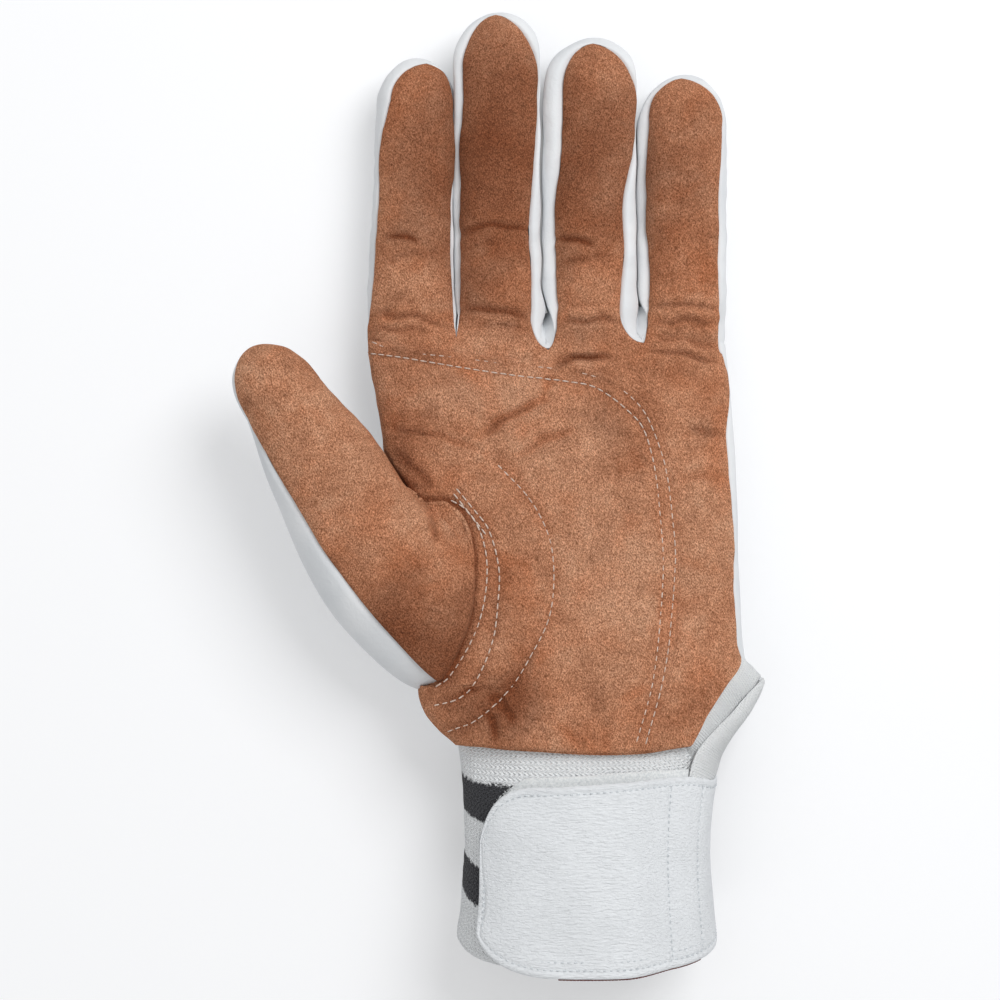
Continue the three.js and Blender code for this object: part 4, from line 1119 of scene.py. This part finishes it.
# %% Back panel
TONGUE = 3.5  # how far the back runs on under the finger backs
WEB_TURN, WEB_SHARE = 1.1, 0.06  # turn by which it runs up under the web, and the share of its width that does
y = rows_of(-PALM_LENGTH, TONGUE, 1.0)
low = np.minimum(y, 0)
below, above = smooth(SEAM_LOW - 0.3, SEAM_LOW + 10, y), smooth(SEAM_HIGH, WEB_Y, y)
web = smooth(-62, -47, y) * smooth(-27, -37, y)
lip = turned(180 + 21 * below * (1 - above), HAND_ROUND)
side = palm_right(np.maximum(low, VENT_TOP)) * (1 - smooth(-VENT_TOP, 9 - VENT_TOP, -y)) + OVERLAP * smooth(-12, -2, y)
s = steps_of(150)
face = hand_point(low, mix(lip, 2 * np.pi + side, s) - WEB_TURN * web * np.clip(1 - s / WEB_SHARE, 0, 1))
face[:, :, 1] = y
borders = np.clip(np.abs(2 * s - 1) / 0.44 - 1.27, 0, 1) ** 2
under = 0.6 * smooth(-9, 0, y) * borders + 0.7 * smooth(-0.6, 0.8, y) + 1.2 * web * smooth(WEB_SHARE, 0.02, s)
under = under + 1.1 * smooth(-13, -6, y) * smooth(0.945, 0.975, s)
x, z = face[:, :, 0], face[:, :, 2]
face = raised(face, 0.22 * waves(x + z, face[:, :, 1], 24, 21) * smooth(1.0, 5.0, z)
              - rolled(face, ["first", "last"], 1.0, 1.6) - under)
face[:, :, 2] = np.maximum(face[:, :, 2], REST)
back = sheet("back_leather", face, THICK["back"], white_leather)
dress(back, "hand", "white_leather", "back_panel")
print("back points:", len(back.data.vertices))

# %% Vent tapes
RIB = 0.78  # spacing of the ribs
at = np.array([-82.6, -86.0, -90.0, -95.0, -100.0, -104.5])
SUEDE_SIDE = np.concatenate([hand_point(at, palm_right(at)) - (0.9, 0, 0.9),
                             [(36.4, -109.0, 28.6), (35.0, -115.2, 27.4)]])
SLIT_LINE = [(57.5, -89.0, 18.7), (55.2, -92.0, 21.2), (52.4, -94.8, 22.2), (48.8, -98.7, 24.0), (45.2, -102.4, 25.6),
             (41.3, -106.4, 27.0), (39.6, -109.8, 27.4), (37.9, -116.2, 27.0)]
FOLD_SIDE = [(58.2, -90.3, 18.4), (55.4, -92.3, 22.0), (52.6, -95.0, 23.6), (48.9, -98.9, 25.6), (45.0, -102.5, 27.4),
             (41.1, -106.4, 29.2), (39.0, -109.6, 30.6), (37.2, -116.0, 30.8)]
OUTER_SIDE = [(58.0, -89.9, 16.5), (56.6, -92.0, 16.5), (54.4, -95.6, 16.5), (52.2, -99.2, 16.5), (49.3, -103.8, 16.5),
              (46.4, -109.9, 16.2), (45.4, -114.0, 15.8), (43.6, -119.0, 16.4)]


def vent_tape(name, node, left, right, puff, rib):
    """Ribbed tape ruled between two edge curves: swollen across its middle, with fine ribs along its length."""
    v = np.linspace(0, 1, 190)
    left, right = (np.stack([np.interp(v, np.linspace(0, 1, len(line)), line[:, i]) for i in range(3)], 1)
                   for line in (curve(stations, 0.1) for stations in (left, right)))
    s = steps_of(16)[:, :, None]
    face = mix(right[::-1, None, :], left[::-1, None, :], s)
    along = np.linalg.norm(np.diff(left, axis=0, prepend=left[:1]), axis=1).cumsum()[::-1, None]
    s = s[:, :, 0]
    ribs = rib * np.sin(2 * np.pi * (along + 1.5 * s) / RIB)
    puff = puff * np.minimum(1, np.linalg.norm(right - left, axis=1) / 8)[::-1, None]
    face = raised(face, puff * np.sin(np.pi * s) ** 0.6 - rolled(face, ["first", "last", "high"], 0.6, 1.0))
    normal = normals_of(face)
    wide = run(face, 1)
    cut = np.stack([wide, along + 1.5 * s], -1)
    made = sheet(name, face + normal * ribs[:, :, None], THICK["tape"], tape_knit, uv=cut, normal=normal)
    dress(made, "hand", "knit", node)


vent_tape("palm_vent_tape", "palm_vent_binding", SUEDE_SIDE, SLIT_LINE, 0.6, 0.13)
vent_tape("back_vent_tape", "back_vent_binding", FOLD_SIDE, OUTER_SIDE, 2.5, 0.09)

# %% [markdown]
# ## Cuff, fastener and strap
# The cuff is an oval band of jersey with two black knitted stripes, whose ends lap under the strap. The strap is a
# leather tab: one end is sewn to the cuff's side, the free end carries hook tape and closes on a patch of loop pile.

# %% Cuff
CUFF_TOP, CUFF_LENGTH, CUFF_SHIFT = 4 - PALM_LENGTH, 55.0, 10.0
HEEL_HALF = through(HAND_DEPTH, CUFF_TOP) / 2
TUCK = 2.0


def cuff_point(v, direction, lift=0.0):
    """Point of the cuff: v is 1 at the hem and 0 at the rim, which slants; lift moves outwards from the knit."""
    rim = 1 - v
    waist = 1.3 * np.sin(np.pi * np.clip(v, 0, 1))
    wide = mix(64, 67, rim) / 2 - waist + lift + 1.7 * smooth(0.5, 1.0, v)
    deep = mix(HEEL_HALF - TUCK, 20, rim) + lift
    c, s = oval(direction, CUFF_ROUND)
    wide = wide + 1.5 * smooth(0.2, 1.0, c) * smooth(0.3, 0.85, v)
    z = deep * s
    y = CUFF_TOP - CUFF_LENGTH * rim - 0.28 * z * rim
    return points(CUFF_SHIFT + wide * c, y, np.maximum(mix(HEEL_HALF, 20, rim) + z, REST))


SLIT = turned(40, CUFF_ROUND)
turn = mix(SLIT - 0.14, SLIT + 2 * np.pi, steps_of(420))
v = np.linspace(0, 1, 60)[:, None]
lap = 0.5 * smooth(SLIT + 0.2, SLIT, turn) + 1.2 * smooth(SLIT - 0.02, SLIT - 0.14, turn)
lap = lap + 1.2 * smooth(SLIT + 2 * np.pi - 0.2, SLIT + 2 * np.pi, turn)
face = cuff_point(v, turn, -lap)
around = run(face, 1)
knit_waves = 0.2 * waves(around, CUFF_LENGTH * v, 17, 31) + 0.06 * waves(around, CUFF_LENGTH * v, 5, 32)
face = raised(face, knit_waves - rolled(face, ["low"], 0.8, 1.4))
face[:, :, 2] = np.maximum(face[:, :, 2], REST)
drawn = 1.7 * smooth(np.pi, np.pi - 0.6, turn) + 4.5 * smooth(1.1, 0.7, turn)  # stripes run lower by the slit
cut = np.stack([around, CUFF_LENGTH * (1 - v) - drawn], -1)
cuff = sheet("cuff_knit", face, THICK["cuff"], cuff_knit, uv=cut)
dress(cuff, "hand", "knit", "cuff_band")

# %% Strap
HINGE_AT, TAB_END, ANCHOR = turned(46, CUFF_ROUND), turned(137, CUFF_ROUND), turned(-20, CUFF_ROUND)
LOOP_AT = turned(84, CUFF_ROUND)
STRAP_TOP = 1 - 10.5 / CUFF_LENGTH
TAB_THICK = 1.5


def strap_lift(direction):
    """Height of the strap's face over the knit: low where it is sewn on, higher over the fastener."""
    return TAB_THICK + 0.3 + 2.6 * smooth(HINGE_AT + 0.1, LOOP_AT - 0.1, direction)


def strap_limits(u):
    """Lower and upper edge of the strap at a share of its length: level, then rounded off at the free end."""
    into = np.clip((u - 0.84) / 0.163, 0, 0.985)
    low_into = np.clip((u - 0.80) / 0.203, 0, 0.985)
    top = STRAP_TOP - 0.31 * (1 - np.sqrt(1 - into ** 2)) - 0.028 * smooth(0.5, 0.85, u) - 0.04 * smooth(0.45, 0.25, u)
    return 0.005 + 0.17 * (1 - np.sqrt(1 - low_into ** 2)), top


def strap_base(u, v):
    """Strap face: u from the sewn end to the free end, v from the lower edge to the upper."""
    direction = mix(ANCHOR, TAB_END, u)
    low, top = strap_limits(u)
    return cuff_point(mix(low, top, v), direction, strap_lift(direction))


SEWN_AT, SEAM_IN = (0.357, 0.477), 2.0
u, v = np.sin(steps_of(260) * np.pi / 2), np.linspace(0, 1, 130)[:, None]
flat = strap_base(u, v)
across, tall = run(flat, 1), run(flat, 0)
ends = np.minimum.reduce([across[:, -1:] - across, tall, tall[-1:] - tall])
groove = 0.22 * np.exp(-((ends - SEAM_IN) / 0.5) ** 2)
for place in SEWN_AT:
    groove = groove + 0.2 * np.exp(-((u - place) / 0.006) ** 2)
face = raised(flat, 0.10 * waves(across, tall, 15, 41) - groove - rolled(flat, ["last", "low", "high"], 0.55, 0.9))
strap = sheet("closure_strap_leather", face, TAB_THICK, strap_leather)


def bend_strap(made):
    """Bakes a piece's placement into its mesh; nothing ties it to the hand or the tab. The hinge's two sides are worked
    out but not used.
    """
    start, stop = (tuple((cuff_point(0.4, HINGE_AT + turn, 1.8) + SHIFT) * MM) for turn in (-0.10, 0.10))
    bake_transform(made)


dress(strap, bend_strap, "white_leather", "closure_tab", "tab_anchor")
print("strap is", round(float(across[60, -1])), "mm long")

# %% Fastener
def fastener(name, node, material, first, last, low_in, top_in, low_lift, height, body):
    """Half of the fastener: a low pile between two directions, kept in from the strap's lower and upper edges."""
    turn = mix(first, last, steps_of(110))
    low, top = strap_limits((turn - ANCHOR) / (TAB_END - ANCHOR))
    inside = smooth(TAB_END, TAB_END - 0.35, turn)
    v = mix(low + low_in, top - top_in * inside, np.linspace(0, 1, 90)[:, None])
    face = cuff_point(v, turn, low_lift + height)
    face = raised(face, 0.10 * waves(face[:, :, 0], face[:, :, 1], 1.6, 51)
                  - rolled(face, ["first", "last", "low", "high"], 0.4, 0.8))
    made = sheet(name, face, height, material)
    dress(made, body, "fastener", node)


fastener("loop_pile_patch", "loop_patch", loop_pile, turned(42.5, CUFF_ROUND), TAB_END + 0.004, 0.06, -0.032, 0.2, 0.8,
         "hand")
fastener("hook_tape_patch", "hook_patch", hook_pile, turned(106, CUFF_ROUND), turned(128, CUFF_ROUND), 0.11, 0.11, 1.5,
         0.9, "tab")
print("fastener made")

# %% [markdown]
# ## Padding
# A sheet of open-cell foam lies inside the palm, and a cotton jersey lining keeps it off the hand. Both follow the
# palm's oval at their own depth, so they stay hidden. The foam's borders taper, as a skived pad's do.

# %% Foam and lining
PAD_TOP = -9.0
y = rows_of(VENT_TOP, PAD_TOP, 1.6)
inner = mix(ULNAR_SEAM + 0.3, hand_towards(y, palm_left(y) + 9), steps_of(60))
face = hand_point(y, inner)
foam_face = raised(face, -1.9 + 0.2 * waves(face[:, :, 0], face[:, :, 1], 20, 61)
                   - rolled(face, ["first", "last", "low", "high"], 1.6, 4.0))
pad = sheet("palm_foam", foam_face, THICK["foam"], foam)
dress(pad, "hand", "foam", "palm_foam_pad")
lining_face = raised(face, -5.4 + 0.15 * waves(face[:, :, 0], face[:, :, 1], 14, 62))
wide = run(face, 1)
cut = np.stack([wide, y + 0 * wide], -1)
lining = sheet("palm_jersey_lining", lining_face, THICK["lining"], lining_knit, uv=cut)
dress(lining, "hand", "knit", "palm_lining")
print("padding made")

# %% [markdown]
# ## Stitches
# Each visible stitch is a short capsule of thread that dips at both ends. One capsule of 32 faces is worked
# out and carried along a row: its centre, its direction and the surface's normal place every copy at once. The
# loose loops of the fastener's pile are the same capsule, strewn thin along the strap's edges.

# %% Stitch shapes
def capsule(sides=6, rings=6):
    """Unit stitch: rings along x from -1 to 1 with a rounded radius, bowed downwards at the ends."""
    s = np.linspace(-1, 1, rings)[:, None]
    turn = np.arange(sides)[None, :] * 2 * np.pi / sides
    radius = np.sqrt(np.clip(1 - np.abs(s) ** 4, 0, 1)) * 0.92 + 0.08
    shape = points(s + 0 * turn, radius * np.cos(turn), radius * np.sin(turn) - 1.3 * s ** 4)
    n = np.arange(rings * sides).reshape(rings, sides)
    ring = np.roll(n, -1, axis=1)
    walls = np.stack([n[:-1], ring[:-1], ring[1:], n[1:]], -1).reshape(-1, 4)
    return shape.reshape(-1, 3), walls, (n[0, ::-1], n[-1])


def copies(centre, ahead, up, length, width):
    """Points, side faces and end caps of one stitch at each centre, lying ahead with its back towards up."""
    ahead = ahead / np.linalg.norm(ahead, axis=1, keepdims=True)
    aside = np.cross(up, ahead)
    aside /= np.linalg.norm(aside, axis=1, keepdims=True)
    shape, walls, caps = capsule()
    axes = np.stack([ahead * length / 2, aside * width / 2, np.cross(ahead, aside) * width / 2], 1)
    place = centre[:, None, :] + np.einsum("vk,nkc->nvc", shape, axes)
    base = (np.arange(len(centre)) * len(shape))[:, None, None]
    return place.reshape(-1, 3), (walls[None] + base).reshape(-1, 4), [(c[None] + base[:, 0]) for c in caps]


def stitch_row(place, normal, pitch, length, width):
    """A row of stitches along a path of points with normals."""
    far = np.r_[0, np.linalg.norm(np.diff(place, axis=0), axis=1).cumsum()]
    at = np.arange(pitch / 2, far[-1], pitch)
    spread = lambda values, where: np.stack([np.interp(where, far, values[:, i]) for i in range(3)], 1)
    ahead = spread(place, at + pitch / 3) - spread(place, at - pitch / 3)
    return copies(spread(place, at), ahead, spread(normal, at), length, width)


def thread_piece(name, rows, material, body):
    """One object of several sets of copies: their points and faces follow each other."""
    place, quads, ends, count = [], [], [], 0
    for p, q, caps in rows:
        place.append(p)
        quads.append(q + count)
        ends += [c + count for c in caps]
        count += len(p)
    mesh = bpy.data.meshes.new(name)
    faces = np.concatenate(quads).tolist() + np.concatenate(ends).tolist()
    mesh.from_pydata(((np.concatenate(place) + SHIFT) * MM).tolist(), [], faces)
    tie(new_object(name, mesh, material), body)


print("points of one stitch:", len(capsule()[0]))

# %% Palm stitches
STITCH = 2.4, 2.0  # pitch and length


def on_palm(line, lift):
    """Path and normals of a stitched row on the palm's face, raised by the layer that it holds."""
    x, y = line[:, 0], line[:, 1]

    def at(x, y):
        """Point of the hand's oval over x and y, carried on past the crotches."""
        base = hand_point(np.minimum(y, 0), hand_towards(np.minimum(y, 0), x))
        base[:, 1] = y
        return base

    d = 0.05
    normal = np.cross(at(x + d, y) - at(x - d, y), at(x, y + d) - at(x, y - d))
    normal /= np.linalg.norm(normal, axis=1, keepdims=True)
    return at(x, y) + normal * (worn(x, y) + lift + 0.07 * waves(x, y, 9, 71))[:, None], normal


LIE = {  # height over the patch past and before a place on the row, that place, and the thread's width
    "patch_outer": (-0.12, 0.06, -16, 0.32), "patch_inner": (0.20, -0.04, -30, 0.36),
    "thumb_inner": (0.18, 0.0, -72, 0.40), "thumb_outer": (0.16, 0.02, -76, 0.40),
    "back_tack": (0.18, 0.18, -50, 0.40), "thumb_ball": (0.08, 0.06, -80, 0.32)}
rows = []
for name, line in lines.items():
    upper, lower, halfway, width = LIE[name]
    lift = mix(lower, upper, smooth(halfway - 6, halfway + 6, line[:, 1]))
    rows.append(stitch_row(*on_palm(line, PATCH_LIFT + lift), *STITCH, width))
thread_piece("palm_stitching", rows, thread, "hand")
print("rows on the palm:", len(rows))

# %% Strap stitches
def on_strap(path):
    """Path and normals of a row on the strap, from pairs of shares along and up it."""
    u, v = path[:, 0], path[:, 1]
    d = 2e-3
    normal = np.cross(strap_base(u, v + d) - strap_base(u, v - d), strap_base(u + d, v) - strap_base(u - d, v))
    normal /= np.linalg.norm(normal, axis=1, keepdims=True)
    return strap_base(u, v) - normal * 0.08, normal


def inset_path(distance, u_low):
    """Row inside the strap's border at a distance: along the lower edge, round the free end and back on top."""
    round_it = np.array([(u_low, 0), (0.8, 0), (0.9, 0.0), (0.97, 0.02), (1, 0.12), (1, 0.5), (1, 0.88), (0.97, 0.98),
                         (0.9, 1.0), (0.8, 1.0), (u_low, 1)], float)
    u, v = curve(round_it, 0.01).T
    u, v = np.clip(u, 0, 1), np.clip(v, 0, 1)
    return np.stack([mix(0.55, u, 1 - distance / 48.0), mix(0.5, v, 1 - 2 * distance / 46.0)], 1)


strap_rows = [inset_path(SEAM_IN, 0.02), np.stack([np.linspace(0.1, 0.9, 90), np.full(90, 0.085)], 1)]
strap_rows += [np.stack([np.full(60, place), np.linspace(0.05, 0.95, 60)], 1) for place in SEWN_AT]
strap_rows = [stitch_row(*on_strap(row), 1.7, 1.1, 0.36) for row in strap_rows]
thread_piece("strap_stitching", strap_rows, white_thread, bend_strap)
u = np.linspace(0.36, 0.78, 120)
hem, up = on_strap(np.stack([u, np.full(120, 0.003)], 1))
hem_row = stitch_row(hem - 0.9 * up - (0, 0.35, 0), up, 0.9, 1.2, 0.42)
thread_piece("strap_hem_thread", [hem_row], hem_thread, bend_strap)
print("rows on the strap:", len(strap_rows))

# %% Loose loops
AT_END, AT_TOP = 150, 70  # loops that stick out past the strap's free end and its upper edge
CURLS = AT_END + AT_TOP
draw = np.random.default_rng(6)
u = np.r_[np.full(AT_END, 1.0), draw.uniform(0.9, 1.0, AT_TOP)]
v = np.where(u == 1.0, draw.uniform(0.22, 0.62, CURLS), strap_limits(u)[1] + 0.012)
root = cuff_point(v, mix(ANCHOR, TAB_END, u) + draw.uniform(0.0, 0.035, CURLS), draw.uniform(0.4, 1.6, CURLS))
curls = copies(root, draw.normal(size=(CURLS, 3)), draw.normal(size=(CURLS, 3)), 1.1, 0.14)
thread_piece("loop_pile_curls", [curls], loop_pile, "hand")
print("loose loops:", CURLS)
